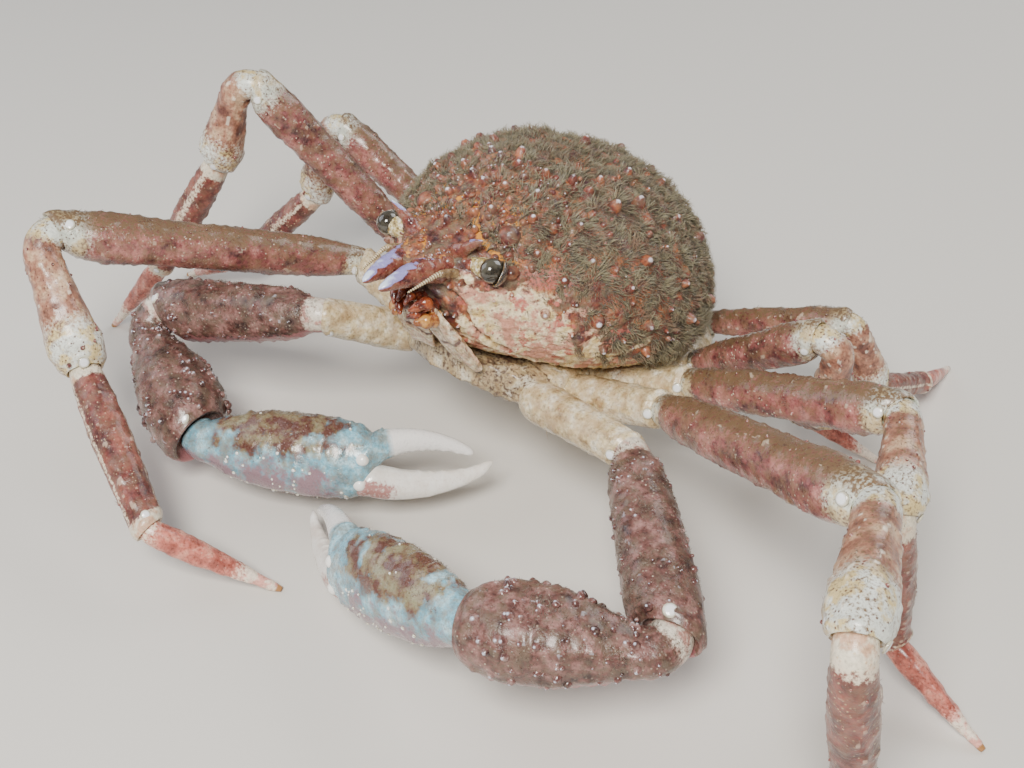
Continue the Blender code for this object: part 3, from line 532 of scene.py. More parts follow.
def add(tree, kind, inputs=None, **settings):
    """One shader node; inputs are values or the sockets that feed them."""
    node = tree.nodes.new("ShaderNode" + kind)
    for key, value in settings.items():
        setattr(node, key, value)
    for key, value in (inputs or {}).items():
        if isinstance(value, bpy.types.NodeSocket):
            tree.links.new(value, node.inputs[key])
        else:
            node.inputs[key].default_value = value
    return node


def mixed(tree, factor, first, second, mode="MIX"):
    """Mix of two colours by a factor, or their product with mode MULTIPLY."""
    return add(tree, "Mix", {0: factor, 6: first, 7: second}, data_type="RGBA", blend_type=mode).outputs[2]


def ramp(tree, factor, stops):
    """Colour ramp through (place, colour) stops; a colour is a list, or a number for a grey."""
    node = add(tree, "ValToRGB", {"Fac": factor})
    ends = node.color_ramp.elements
    while len(ends) < len(stops):
        ends.new(0.5)
    for end, (place, colour) in zip(ends, stops):
        end.position = place
        end.color = colour if isinstance(colour, list) else [colour] * 3 + [1.0]
    return node.outputs["Color"]


def maths(tree, operation, a, b=0.0, clamp=False):
    """One arithmetic step on two numbers, held to 0 and 1 if clamp is set."""
    return add(tree, "Math", {0: a, 1: b}, operation=operation, use_clamp=clamp).outputs[0]


def noise(tree, place, size, detail, roughness=0.5):
    """Cloudy pattern from 0 to 1 with patches of about the size given in mm."""
    settings = {"Vector": place, "Scale": 1 / (size * MM), "Detail": detail, "Roughness": roughness}
    return add(tree, "TexNoise", settings).outputs["Fac"]


def new_surface(name):
    """Empty material: itself, its tree, its shader and the place on the object."""
    surface = bpy.data.materials.new(name)
    surface.use_nodes = True
    tree = surface.node_tree
    return surface, tree, tree.nodes["Principled BSDF"], add(tree, "TexCoord").outputs["Object"]


def piece_marks(tree):
    """The three marks that a piece's points carry, as red, green and blue."""
    attribute = add(tree, "Attribute", attribute_name="marks")
    return add(tree, "SeparateColor", {0: attribute.outputs["Color"]}).outputs


def crab_surface(name, dark, base, light, speck, pale, blush, tip, accent, blotch=14.0, grain=2.2,
                 fleck=3.0, flecks=0.30, rough=(0.35, 0.62), coat=0.25, bump=0.5, mottle=0.75,
                 tip_from=(0.45, 0.80), stain=None, film=None, scuff=0.0, stipple=None, soft=0.0):
    """Living shell: blotches of three tones, fine mottling and pale flecks, with the marks attribute
    bringing in the tip colour (red), the pale joint or flank (green) and the accent (blue). The pale parts
    run from blush through pale to stain, film is a thin settled silt in patches over the dark ones, and
    scuff frays the edge of the tip colour. Flecks on the pale parts take the stipple colour, if it is
    given, and soft widens the speckled border between the parts. Sizes are in mm: blotch of the broad
    patches, grain of the mottling, fleck of the pale dots."""
    surface, tree, shader, place = new_surface(name)
    marks = piece_marks(tree)
    broad = noise(tree, place, blotch, 4.0, 0.62)
    fine = noise(tree, place, grain, 3.0, 0.6)
    drift = noise(tree, place, blotch * DRIFT_SHARE, 2.0)
    dots = add(tree, "TexVoronoi", {"Vector": place, "Scale": 1 / (fleck * MM), "Randomness": 0.9})
    tone = ramp(tree, broad, ((0.36, linear(dark)), (0.50, linear(base)), (0.63, linear(light))))
    shade = ramp(tree, fine, ((0.30, 0.45), (0.52, 1.0), (0.72, 1.25)))
    tone = mixed(tree, mottle, tone, shade, "MULTIPLY")
    dot = ramp(tree, dots.outputs["Distance"], ((0.10, 1.0), (0.26, 0.0)))
    where = ramp(tree, drift, ((0.40, 0.0), (0.60, 1.0)))
    amount = maths(tree, "MULTIPLY", maths(tree, "MULTIPLY", dot, where), flecks, True)
    tone = mixed(tree, amount, tone, linear(speck))
    if film:
        silt = ramp(tree, noise(tree, place, FILM_PATCH, 5.0, 0.7), ((0.44, 0.0), (0.62, 0.72)))
        tone = mixed(tree, silt, tone, linear(film))
    patchy = ((0.43, linear(blush)), (0.52, linear(pale)), (0.64, linear(stain or pale)))
    patchy = mixed(tree, mottle * 0.7, ramp(tree, broad, patchy), shade, "MULTIPLY")
    patchy = mixed(tree, maths(tree, "MULTIPLY", dot, flecks), patchy, linear(stipple or speck))
    reach = 3 * soft
    for mark, frayed, low, high, colour in ((1, 0.9 + reach, 0.34 - soft, 0.62 + soft, patchy),
                                            (2, 1.1 + reach, 0.36 - soft, 0.60 + soft, linear(accent)),
                                            (0, scuff, tip_from[0], tip_from[1], linear(tip))):
        shaken = maths(tree, "MULTIPLY", maths(tree, "SUBTRACT", fine, 0.5), frayed)
        amount = ramp(tree, maths(tree, "ADD", marks[mark], shaken), ((low, 0.0), (high, 1.0)))
        tone = mixed(tree, amount, tone, colour)
    tree.links.new(tone, shader.inputs["Base Color"])
    gloss = ramp(tree, fine, ((0.35, rough[0]), (0.65, rough[1])))
    tree.links.new(gloss, shader.inputs["Roughness"])
    height = maths(tree, "ADD", fine, maths(tree, "MULTIPLY", dot, 0.5))
    relief = add(tree, "Bump", {"Height": height, "Strength": 0.7, "Distance": bump * MM})
    tree.links.new(relief.outputs["Normal"], shader.inputs["Normal"])
    shader.inputs["Coat Weight"].default_value = coat
    shader.inputs["Coat Roughness"].default_value = 0.18
    return surface


def coat_surface(name, root, shaft, end, patch, tint):
    """Short woolly growth: darker at its roots (marks red 0) and paler at its ends (marks red 1), with
    broad patches of another tint; matt, with a faint sheen like wet felt."""
    surface, tree, shader, place = new_surface(name)
    marks = piece_marks(tree)
    tone = ramp(tree, marks[0], ((0.0, linear(root)), (0.45, linear(shaft)), (1.0, linear(end))))
    where = ramp(tree, noise(tree, place, patch, 3.0, 0.6), ((0.50, 0.0), (0.68, 1.0)))
    tone = mixed(tree, maths(tree, "MULTIPLY", where, 0.55), tone, linear(tint))
    lightness = ramp(tree, marks[1], ((0.0, 0.62), (1.0, 1.3)))
    tone = mixed(tree, 1.0, tone, lightness, "MULTIPLY")
    tree.links.new(tone, shader.inputs["Base Color"])
    shader.inputs["Roughness"].default_value = 0.8
    shader.inputs["Sheen Weight"].default_value = 0.15
    return surface


def eye_surface():
    """Wet cornea: very dark brown-grey with a faint net of facets under a clear coat."""
    surface, tree, shader, place = new_surface("cornea_glass")
    facets = {"Vector": place, "Scale": 1 / (FACET * MM)}
    cells = add(tree, "TexVoronoi", facets, feature="DISTANCE_TO_EDGE")
    body = ramp(tree, noise(tree, place, 4.0, 2.0), ((0.40, linear("171A19")), (0.60, linear("4A4A42"))))
    edge = ramp(tree, cells.outputs["Distance"], ((0.02, 0.6), (0.10, 0.0)))
    tree.links.new(mixed(tree, edge, body, linear("5B4A32")), shader.inputs["Base Color"])
    shader.inputs["Roughness"].default_value = 0.12
    shader.inputs["Coat Weight"].default_value = 1.0
    shader.inputs["Coat Roughness"].default_value = 0.03
    return surface


# Colours come in the order dark, base, light, speck, pale, blush, tip and accent
# White for tips; on the tubercles, rostrum granules and small head spines it is a painted highlight
WHITE_TIP = "E6E6F0"
# Chitin of the back: maroon and rust granules with orange in the furrows, half matt under its film
SHELL = crab_surface(
    "carapace_shell", "42262A", "7A4032", "B06A40", "D9C3A0", "E9DAB4", "C9907A", "B8685A", "D68F34",
    blotch=8, grain=1.5, fleck=2.2, flecks=0.7, rough=(0.35, 0.65), coat=0.2, bump=1.1, stain="D2B67C",
    film="756A50", scuff=1.3, stipple="96626A")
# Polished chitin of the tubercles: purple-brown, with a small painted highlight in white at the tip
TUBERCLE = crab_surface(
    "tubercle_shell", "48282C", "7C4238", "AE6A48", "C9A088", "D9B8A0", "B0705E", WHITE_TIP, "DFA045",
    blotch=6, grain=1.2, rough=(0.28, 0.5), coat=0.3, bump=0.4, film="786450", tip_from=(0.84, 1.0),
    scuff=0.3)
# Horns: glossy rust-brown skin, lilac-blue on their upper faces, with a painted bluish-white highlight (the
# tip colour) along the top ridge and at the tip
HORN_SHELL = crab_surface(
    "horn_shell", "4E2628", "844034", "A8624A", "D9B088", "E4D2D0", "A98A98", "D4E0F6", "918BC2",
    blotch=5, grain=1.3, fleck=1.6, flecks=0.5, rough=(0.16, 0.4), coat=0.8, bump=0.4, film="6E5244",
    tip_from=(0.30, 0.80), scuff=0.5)
# Chitin of the eye sockets: smoky grey with an amber rim
SOCKET = crab_surface(
    "socket_shell", "2E2A2A", "4E4846", "6E6660", "9A8A7A", "8A8078", "6A5A56", "C9CCD6", "8A6A3A",
    blotch=4, grain=1.0, fleck=1.4, rough=(0.18, 0.35), coat=0.7, bump=0.2)
# Bare plates of the mouth: cream with salmon patches and brown seams
FLANK = crab_surface(
    "plate_shell", "9C7454", "DECBA0", "F3EAD2", "B07464", "EDE3CC", "C88F7C", WHITE_TIP, "6A4438",
    blotch=4, grain=1.3, fleck=2.0, flecks=0.7, rough=(0.16, 0.4), coat=0.6, bump=0.7, film="D8AC98")
# Chitin of the legs: dusky rose-brown with brown film above and cream speckles, bluish-cream at the joints
LEG = crab_surface(
    "leg_shell", "4C2A2C", "8C504E", "B67A72", "EADCC0", "DDE0D2", "CDBA90", "E2D0B8", "6E563C",
    blotch=9, grain=1.3, fleck=2.0, flecks=0.9, rough=(0.22, 0.46), coat=0.5, bump=0.45, stain="C6CCC0",
    film="86684F", stipple="62403A")
# Knobs of the legs: as the legs, paler at their tips
LEG_KNOB = crab_surface(
    "leg_knob_shell", "4C2A2C", "7C4844", "9C665C", "EADCC0", "DDE0D2", "D2C096", "CBB29C", "6E563C",
    blotch=7, grain=1.2, rough=(0.22, 0.42), coat=0.5, bump=0.2, tip_from=(0.7, 1.0))
# Third segments: tan and cream, with maroon dots on the pale parts
CARPUS = crab_surface(
    "carpus_shell", "6A4238", "A87660", "D0AE8E", "5A2E28", "DFE4DC", "D9C48E", "EFE6D4", "6E563C",
    blotch=9, grain=1.3, fleck=2.0, flecks=1.0, rough=(0.28, 0.5), coat=0.4, bump=0.4)
# Fourth segments: maroon red with a pale stripe and pale cuffs
LEG_END = crab_surface(
    "propodus_shell", "4C2422", "7A3E38", "9C5E50", "E0C49A", "E6DCC6", "D0A98C", "E6CCB4", "E6D5BE",
    blotch=8, grain=1.3, fleck=1.8, flecks=0.85, rough=(0.28, 0.5), coat=0.35, bump=0.45, film="7C5A48")
# Feet: coral pink, cream towards the tip, ending in an amber horn point
FOOT = crab_surface(
    "foot_shell", "984C40", "C87464", "E2A08C", "F2DCC8", "F4E4D2", "E8A89A", "A87848", "EFE0CA",
    blotch=8, grain=1.2, fleck=1.6, flecks=0.3, rough=(0.24, 0.45), coat=0.45, bump=0.25)
# Limb roots and breast plates: ivory with straw and brown stains; the brown accent marks their seams and is
# painted shade on the sternum's front and the roots' lower sides
COXA = crab_surface(
    "coxa_shell", "A58A62", "D6C49A", "EFE8D4", "A9785E", "F2ECDA", "CFA890", WHITE_TIP, "5E4A3C",
    blotch=7, grain=1.5, fleck=2.4, flecks=0.6, rough=(0.22, 0.44), coat=0.5, bump=0.6, film="C2A884")
# Arms of the claws: maroon-brown and rough, rose below
CLAW_ARM = crab_surface(
    "claw_arm_shell", "38221F", "6C4640", "98706A", "CDBBA6", "DCD2C2", "B98C80", "C6C8D4", "A46C6E",
    blotch=7, grain=1.4, fleck=2.0, flecks=0.8, rough=(0.26, 0.5), coat=0.4, bump=0.7, film="6A5A4A")
# Knobs of the claw arms: as the arms, with glossy bluish-white tips
KNOB = crab_surface(
    "claw_knob_shell", "3E2826", "704A46", "9C807A", "D2C2B2", "DCD2C2", "B98C80", "CCD2E2", "AC7478",
    blotch=7, grain=1.2, rough=(0.2, 0.38), coat=0.6, bump=0.2, tip_from=(0.78, 1.0))
# Enamel of the hands: sky blue under grey film, with a brown patch above and mauve below
PALM = crab_surface(
    "palm_shell", "6C8C98", "7CB8CE", "B4DAE6", "8A6A66", "7E6C50", "5E3A30", "F0EEEC", "8A6E78",
    blotch=8, grain=1.4, fleck=1.8, flecks=0.55, rough=(0.18, 0.4), coat=0.6, bump=0.4, mottle=0.6,
    stain="8F8A6C", film="8C8E84", soft=0.18)
# Porcelain of the fingers: glossy ivory, with rose at the root of the moving one
FINGER = crab_surface(
    "finger_porcelain", "E2D8CE", "EFEAE2", "F8F6F2", "B98C86", "F8F5F0", "DDB9AE", "FBFAF6", "B07E78",
    blotch=12, grain=1.4, fleck=1.7, flecks=0.25, rough=(0.14, 0.26), coat=0.8, bump=0.05, mottle=0.12)
# Knuckles and fine knobs: glossy cream
KNUCKLE = crab_surface(
    "knuckle_enamel", "A8A290", "C6C2AE", "DAD6C4", "B0A090", "F8F5F0", "DDB9AE", "F4F6FA", "A9787A",
    blotch=4, grain=1.2, fleck=1.7, flecks=0.15, rough=(0.1, 0.22), coat=0.9, bump=0.05, mottle=0.2)
# Eye stalks: wet shell in straw and brown, its near-white blotches partly pale shell and partly painted
# highlights of the glassy stalk
STALK = crab_surface(
    "stalk_shell", "6E5428", "CDB878", "F8F2DC", "7A5A2C", "F0EBCF", "C9B27A", WHITE_TIP, "6A4E2A",
    blotch=2.2, grain=0.9, fleck=1.3, flecks=0.6, rough=(0.08, 0.24), coat=1.0, bump=0.6)
# Palps: wet mahogany and rust, the outer ones paler
PALP = crab_surface(
    "palp_shell", "451C18", "74301F", "A4522C", "E0A060", "C08A48", "8A4E28", "E9CBA0", "D98F3C",
    blotch=5, grain=1.1, fleck=1.4, rough=(0.12, 0.3), coat=0.9, bump=0.3)
# Feelers: tan beads with paler crests
BEADS = crab_surface(
    "feeler_beads", "5C4630", "8C7250", "B8A27A", "5A3A22", "E9DDBB", "B98A5A", "DCD0AC", "6A4424",
    blotch=4, grain=0.9, fleck=1.2, rough=(0.25, 0.45), coat=0.5, bump=0.15)
# Woolly growth like wet felt: olive-tan on the back, greyer on the claws
GROWTH = coat_surface("shell_growth", "48402F", "7F765A", "B0A888", 6, "7E483C")
WOOL = coat_surface("claw_growth", "4A3E34", "786856", "A2947C", 8, "7E4C40")


# Body

def outline_radius(bearing):
    """Radius in plan: straight lines through the outline's knots, the same on both sides, averaged over
    three bearings 9 degrees apart."""
    bearings, radii = np.array(OUTLINE_BEARINGS), np.array(OUTLINE_RADII)
    knots = np.concatenate((-bearings[:0:-1], bearings, 360 - bearings[-2::-1]))
    radii = np.concatenate((radii[:0:-1], radii, radii[-2::-1]))
    folded = folded_bearing(bearing)
    return sum(w * np.interp(folded + o, knots, radii) for o, w in ((-9, 0.25), (0, 0.5), (9, 0.25)))


def swelling(forward, left, ahead, aside, reach):
    """Bell over the plan about one place on each side: e to the power -(distance / reach)^2."""
    return np.exp(-((forward - ahead) ** 2 + (np.abs(left) - aside) ** 2) / reach ** 2)


def dome(bearing, slant):
    """Body-frame place on the shell: an oval of outline_radius times sin(slant)^0.92 in plan, cos(slant)
    in height, with a muzzle standing out in front, a lower rim along the gills and low swellings."""
    b, s = np.radians(bearing), np.radians(slant)
    folded = folded_bearing(bearing)
    muzzle = MUZZLE_BULGE * np.exp(-(folded / 28) ** 2 - ((slant - MUZZLE_SLANT) / 16) ** 2)
    reach = outline_radius(bearing) * np.sin(s) ** 0.92 * (1 + muzzle)
    forward = OUTLINE_CENTRE + reach * np.cos(b)
    left = reach * np.sin(b)
    up = RIM_LEVEL + np.where(slant < 90, DOME_HEIGHT, BELLY_DEPTH) * np.cos(s)
    up = up - BRANCHIAL_SAG * bell(folded, 98, 40) * np.sin(s) ** 2
    rise = sum(tall * swelling(forward, left, *where) for tall, *where in SWELLINGS)
    up = up + rise * (1 - smoothstep(slant, 70, 90))
    floor = FLOOR_OF_SHELL + FRONT_SLOPE * np.maximum(0, forward - FRONT_BREAK)
    return forward, left, np.maximum(up, floor)


def off_line(x, y, line):
    """Least distance in the plane from each (x, y) to a broken line."""
    best = np.full(np.broadcast(x, y).shape, 1e9)
    for (ax, ay), (bx, by) in zip(line, line[1:]):
        dx, dy = bx - ax, by - ay
        t = np.clip(((x - ax) * dx + (y - ay) * dy) / (dx * dx + dy * dy), 0, 1)
        best = np.minimum(best, np.hypot(x - ax - t * dx, y - ay - t * dy))
    return best


def off_skin_line(folded, slant, line):
    """Least distance over the skin to a broken line of (bearing, slant), in degrees of slant."""
    return off_line(folded * BEARING_SHARE, slant, [(b * BEARING_SHARE, s) for b, s in line])


def shell_places(bearing, slant):
    """World places and outward directions on the smooth shell, the latter from two small steps."""
    step = 0.8
    here = body_point(*dome(bearing, slant))
    ahead = body_point(*dome(bearing + step, slant)) - here
    down = body_point(*dome(bearing, slant + step)) - here
    return here, unit(np.cross(down, ahead))


def skin_spot(folded, slant, bearing, bearing_reach, level, level_reach):
    """Bell over the skin: e to the power -((folded - bearing) / reach)^2 - ((slant - level) / reach)^2."""
    return np.exp(-((folded - bearing) / bearing_reach) ** 2 - ((slant - level) / level_reach) ** 2)


def low_warts(points):
    """Sum over scattered low warts of tall * exp(-distance^2 / size^2), a few dozen warts at a time."""
    rng = np.random.default_rng(21)
    count, batch = 420, 60
    bearing = rng.uniform(0, 360, count)
    spot = np.stack(dome(bearing, np.degrees(np.arccos(rng.uniform(-0.2, 0.98, count)))), -1)
    size = rng.uniform(1.5, 2.6, count)
    tall = size * rng.uniform(0.2, 0.42, count)
    total = 0
    for first in range(0, count, batch):
        part = slice(first, first + batch)
        away = sum((points[..., c, None] - spot[part, c]) ** 2 for c in range(3))
        total = total + (tall[part] * np.exp(-away / size[part] ** 2)).sum(-1)
    return total


def shell_relief(bearing, slant):
    """Height in mm over the smooth shell, and the weights of bare flank, red cheek and orange furrow: bells
    about the grooves and the seam, ripples for the granules, and the warts."""
    forward, left, up = dome(bearing, slant)
    side = np.abs(left)
    folded = folded_bearing(bearing)
    points = np.stack(np.broadcast_arrays(forward, left, up), -1)
    on_top = 1 - smoothstep(slant, 74, 92)
    neck = bell(off_line(forward, side, NECK_GROOVE), 0, 3.0)
    gill = bell(off_line(forward, side, GILL_GROOVE), 0, 3.2)
    front = bell(off_line(forward, side, FRONT_GROOVE), 0, 1.9) * on_top
    seam = off_skin_line(folded, slant, PLEURAL_SEAM)
    muzzle = smoothstep(forward, 44, 52)
    height = -GROOVE_DEPTH * (neck + gill) * on_top - FRONT_DEPTH * front
    height = height - SEAM_DEPTH * bell(seam, 0, 1.4) + bell(seam, 3.2, 2.0)
    height = height + 0.55 * ripple(points, 9, 3) * on_top + (0.25 + 0.3 * muzzle) * ripple(points, 4, 5)
    height = height + low_warts(points)
    shake = 6.0 * ripple(points, 11, 27) + 4.0 * ripple(points, 4.5, 29)
    bare = smoothstep(slant + shake, 70, 82) * smoothstep(folded, 10, 17)
    bare = bare * (1 - smoothstep(folded + 2.4 * shake - 0.5 * (slant - 90), 42, 78))
    bare = np.maximum(bare, smoothstep(slant, 104, 116) * (1 - smoothstep(folded, 100, 150)))
    creases = 0.30 * ripple(points, 2.4, 37) + 0.30 * ripple(points, 5.5, 38)
    height = height + creases * bare * (1 - on_top * 0.5)
    stained = smoothstep(ripple(points, 8, 35) + 0.5 * ripple(points, 3, 36), 0.55, 1.05)
    cheek = skin_spot(folded, slant, 41, 11, 69, 7)
    cheek = np.maximum(cheek, 0.8 * skin_spot(folded, slant, 72, 9, 66, 7))
    cheek = np.maximum(cheek * 0.9, 0.75 * stained * smoothstep(slant, 58, 66))
    threads = np.maximum(bell(ripple(points, 5.0, 71), 0, 0.16), bell(ripple(points, 4.0, 74), 0, 0.14))
    net = threads * skin_spot(folded, slant, 20, 14, 47, 10)
    trench = bell(off_skin_line(folded, slant, FURROW), 0, 1.5)
    height = height - FURROW_DEPTH * trench
    furrow = np.maximum(trench * (0.65 + 0.4 * threads), 0.8 * net)
    return height, bare * (1 - bell(seam, 0, 1.3)), cheek, furrow


def carapace():
    """Shell: smooth dome on a grid of bearing and slant, moved outwards by its relief."""
    around, down = 400, 220
    bearing = (np.arange(around) * 360.0 / around)[None, :]
    slant = (180 * ((np.arange(down) + 0.5) / down))[:, None]
    bearing, slant = np.broadcast_arrays(bearing, slant)
    places, ways = shell_places(bearing, slant)
    height, bare, cheek, furrow = shell_relief(bearing, slant)
    height = height * (1 - smoothstep(slant, 140, 160))
    grid = places + ways * height[..., None]
    closed_tube("carapace_skin", grid, SHELL, (cheek, bare, furrow), "carapace")


def mirrored(point, side):
    """World place of a body-frame point on the left (1) or right (-1) side."""
    return body_point(point[0], point[1] * side, point[2])


def head_spine(name, form, side, radius, surface, flat=1.0, bow=0.0, blunt=1.15, rows=40, columns=28,
               pale=None):
    """Tapered spine from root to tip: radius falls as (1 - t)^(1 / blunt) from its foot, bowed up by a
    parabola, its section an oval; its first rings are sunk in the head. The lilac mark of its upper side
    comes from pale, a function of t and of how much a place faces up, and a painted highlight lies on its
    tip and, with pale, along its top ridge."""
    root, tip = mirrored(form[0], side), mirrored(form[1], side)
    way = unit(tip - root)
    t = np.linspace(-0.2, 1, rows)
    lift = body_direction(0, 0, 1)
    centres = root + (tip - root) * t[:, None] + lift * (bow * 4 * t * (1 - t) * (t > 0))[:, None]
    size = radius * np.clip(1 - np.maximum(t, 0), 0, 1) ** (1 / blunt) * (1 + 0.10 * bell(t, 0, 0.2))
    size = np.maximum(size, 0.05)[:, None]
    ways = np.repeat(way[None], rows, 0)
    grid = oval_rings(centres, ways, body_direction(0, 1, 0), size * flat, size, full_turn(columns))
    wobble = ripple(grid, 5.0, 17) * 0.45 + ripple(grid, 2.2, 18) * 0.3
    wobble = wobble * (1 - np.clip(t, 0, 1))[:, None]
    spread = grid - centres[:, None]
    grid = centres[:, None] + spread * (1 + wobble[..., None] / np.maximum(size[..., None], 1.5))
    # Painted highlight: the tip colour at the spine's tip, and with pale also along its upper ridge
    shine, painted_highlight = 0, smoothstep(t, 0.75, 1)[:, None]
    if pale:
        top = (unit(spread) @ lift) * 0.5 + 0.5 + 0.10 * ripple(grid, 4.0, 19)
        shine = pale(t[:, None], top)
        painted_highlight = smoothstep(t[:, None] * 0.6 + top, 1.26, 1.6)
    closed_tube(name, grid, surface, (painted_highlight, 0, shine))


def head():
    """Rostrum, a squared oval carried along its axis with a furrow down the middle and granules above, and
    the pairs of horns, brows, orbit roots and cheek spines."""
    rows, columns, granules = 46, 56, 90
    t = np.linspace(0, 1, rows)
    start, end = np.array(ROSTRUM[0], float), np.array(ROSTRUM[1], float)
    axis = start + (end - start) * t[:, None]
    turns = full_turn(columns)
    deep, wide = formed(t[:, None], ROSTRUM_FORM, 0.05)
    x, z = squared_ring(turns, 0.85, wide, deep)
    furrow = 1.6 * bell(x, 0, 3.0) * smoothstep(t, 0.3, 0.9)[:, None] * (np.sin(turns) > 0)
    points = np.stack(np.broadcast_arrays(axis[:, :1] + 0 * x, x, axis[:, 2:] + z - furrow), -1)
    bumpy = 0.6 * ripple(points, 5, 8) + 0.5 * ripple(points, 2.4, 9)
    grid = body_point(points[..., 0], points[..., 1], points[..., 2] + bumpy * np.sin(turns))
    orange = 0.55 * smoothstep(ripple(points, 6, 73), 0.1, 0.9)
    closed_tube("rostrum_skin", grid, SHELL, (0.25, 0, orange))
    spread = unit(grid - grid.mean(1, keepdims=True))
    rng = np.random.default_rng(81)
    row, column = rng.integers(4, rows - 3, granules), rng.integers(2, columns // 2, granules)
    radii = rng.uniform(0.6, 1.5, granules)
    heights = radii * rng.uniform(0.5, 0.9, granules)
    # The granules' white tips are a painted highlight
    domes("rostrum_granules", grid[row, column], spread[row, column], radii, heights, TUBERCLE, sides=8,
          sunk=0.6, blunt=0.75)
    woolly("rostrum_wool", grid, spread, 3600, 83, "carapace")
    for side, word in SIDES:
        head_spine("horn_" + word, HORN, side, HORN_RADIUS, HORN_SHELL, flat=0.95, bow=1.4, blunt=2.1,
                   rows=72, columns=48, pale=lambda t, top: smoothstep(top + t * 0.45, 1.04, 1.26))
        head_spine("brow_" + word, BROW_SPINE, side, BROW_RADIUS, HORN_SHELL, bow=0.5, blunt=1.6,
                   pale=lambda t, top: smoothstep(top + t * 0.6, 1.15, 1.4))
        head_spine("orbit_root_" + word, ORBIT_CUP, side, ORBIT_RADIUS, TUBERCLE, bow=0.2, blunt=1.2)
        for k, (form, radius) in enumerate(zip(CHEEK_SPINES, CHEEK_RADII)):
            head_spine("cheek_%s_%d" % (word, k), form, side, radius, TUBERCLE, blunt=1.5)


def socket(name, centre, axis):
    """Cup behind an eye: a bowl from two half circles turned about its axis, an outer and an inner one,
    joined by a rounded and slightly waved rim."""
    rows, columns = 34, 48
    swing = np.linspace(0.04, SOCKET_OPENING, rows)
    swing = np.concatenate((swing, swing[::-1]))
    inner, outer = SOCKET_RADII
    middle = (inner + outer) / 2
    size = np.repeat((outer, inner), rows)
    size = middle + (size - middle) * np.sqrt(np.clip((SOCKET_OPENING - swing) * 6, 0, 1))
    turns = full_turn(columns)
    reach = size[:, None] * (1 + 0.03 * np.sin(3 * turns) + 0.02 * np.sin(7 * turns + 1))
    centres = centre + axis * (size * np.cos(swing))[:, None]
    ring = reach * np.sin(swing)[:, None]
    ways = np.repeat(axis[None], 2 * rows, 0)
    grid = oval_rings(centres, ways, body_direction(0, 0, 1), ring, ring, turns)
    rim = 0.5 * bell(swing, SOCKET_OPENING, 0.12)[:, None]
    closed_tube(name, grid, SOCKET, (0, 0, rim))


def eyes():
    """Eyes: a stalk, a tube of eased radius with facets like cut glass, a cornea, rings of radius sin(angle)
    and height cos(angle), and the socket behind it."""
    glass = eye_surface()
    rows, columns, rings = 40, 32, 30
    turns = full_turn(columns)
    t = np.linspace(0, 1, rows)
    size = STALK_RADIUS * np.array((1.0, 1.15, 1.38, 1.42, 1.05))
    size = eased(t, (0, 0.35, 0.62, 0.85, 1.0), size, 0.05)[:, None]
    angle = np.linspace(0.06, math.pi - 0.06, rings)
    ball_size = (np.sin(angle) * EYE_RADIUS * 1.02)[:, None]
    ahead = body_direction(1, 0, 0)
    for side, word in SIDES:
        foot, ball = mirrored(EYE[0], side), mirrored(EYE[1], side)
        way = unit(ball - foot)
        length = np.linalg.norm(ball - foot)
        centres = foot + way * (t * (length - 0.8))[:, None]
        grid = oval_rings(centres, np.repeat(way[None], rows, 0), ahead, size, size, turns)
        facets = 0.35 * np.abs(ripple(grid, 3.2, 31)) + 0.2 * ripple(grid, 1.6, 32)
        grid = grid + unit(grid - centres[:, None]) * facets[..., None]
        closed_tube("eye_stalk_" + word, grid, STALK, (0, 0, 0), "eye_" + word)
        centres = ball - way * (np.cos(angle) * EYE_RADIUS * 0.94)[:, None] + way * 0.2
        ways = np.repeat(way[None], rings, 0)
        grid = oval_rings(centres, ways, ahead, ball_size, ball_size * 1.06, turns)
        closed_tube("cornea_" + word, grid, glass, slot="eye_" + word)
        back = unit(np.array((-0.74, side * 0.60, -0.30)))
        socket("socket_" + word, ball, body_direction(*back))


def tapered_line(knots, radii, rows, reach=0.04):
    """Centres, directions and sizes of a smooth line through knots, eased at its corners, with the share t
    along it and its length."""
    knots = np.asarray(knots, float)
    step = np.concatenate(((0,), np.cumsum(np.linalg.norm(np.diff(knots, axis=0), axis=1))))
    length = step[-1]
    t = np.linspace(0, 1, rows)
    centres = np.stack([eased(t * length, step, knots[:, k], length * reach) for k in range(3)], -1)
    return centres, unit(np.gradient(centres, axis=0)), np.interp(t * length, step, radii), t, length


def feelers():
    """Antennae: two smooth joints, then a whip whose radius swells at each bead as |sin|."""
    for side, word in SIDES:
        knots = [mirrored(p, side) for p in FEELER]
        centres, ways, sizes, t, length = tapered_line(knots, FEELER_RADII, 210)
        bead = np.abs(np.sin(t * length / BEAD_LENGTH * math.pi))
        ringed = smoothstep(t, 0.42, 0.46)
        knot = 1 + 0.14 * bell(t, 0.30, 0.02)
        sizes = (sizes * (1 - 0.28 * ringed) * (1 - 0.34 * ringed * (1 - bead)) * knot)[:, None]
        grid = oval_rings(centres, ways, body_direction(0, 1, 0), sizes, sizes, full_turn(20))
        beaded = (bead * ringed * 0.8)[:, None]
        closed_tube("feeler_" + word, grid, BEADS, (beaded, 0, 0), "antenna_" + word)


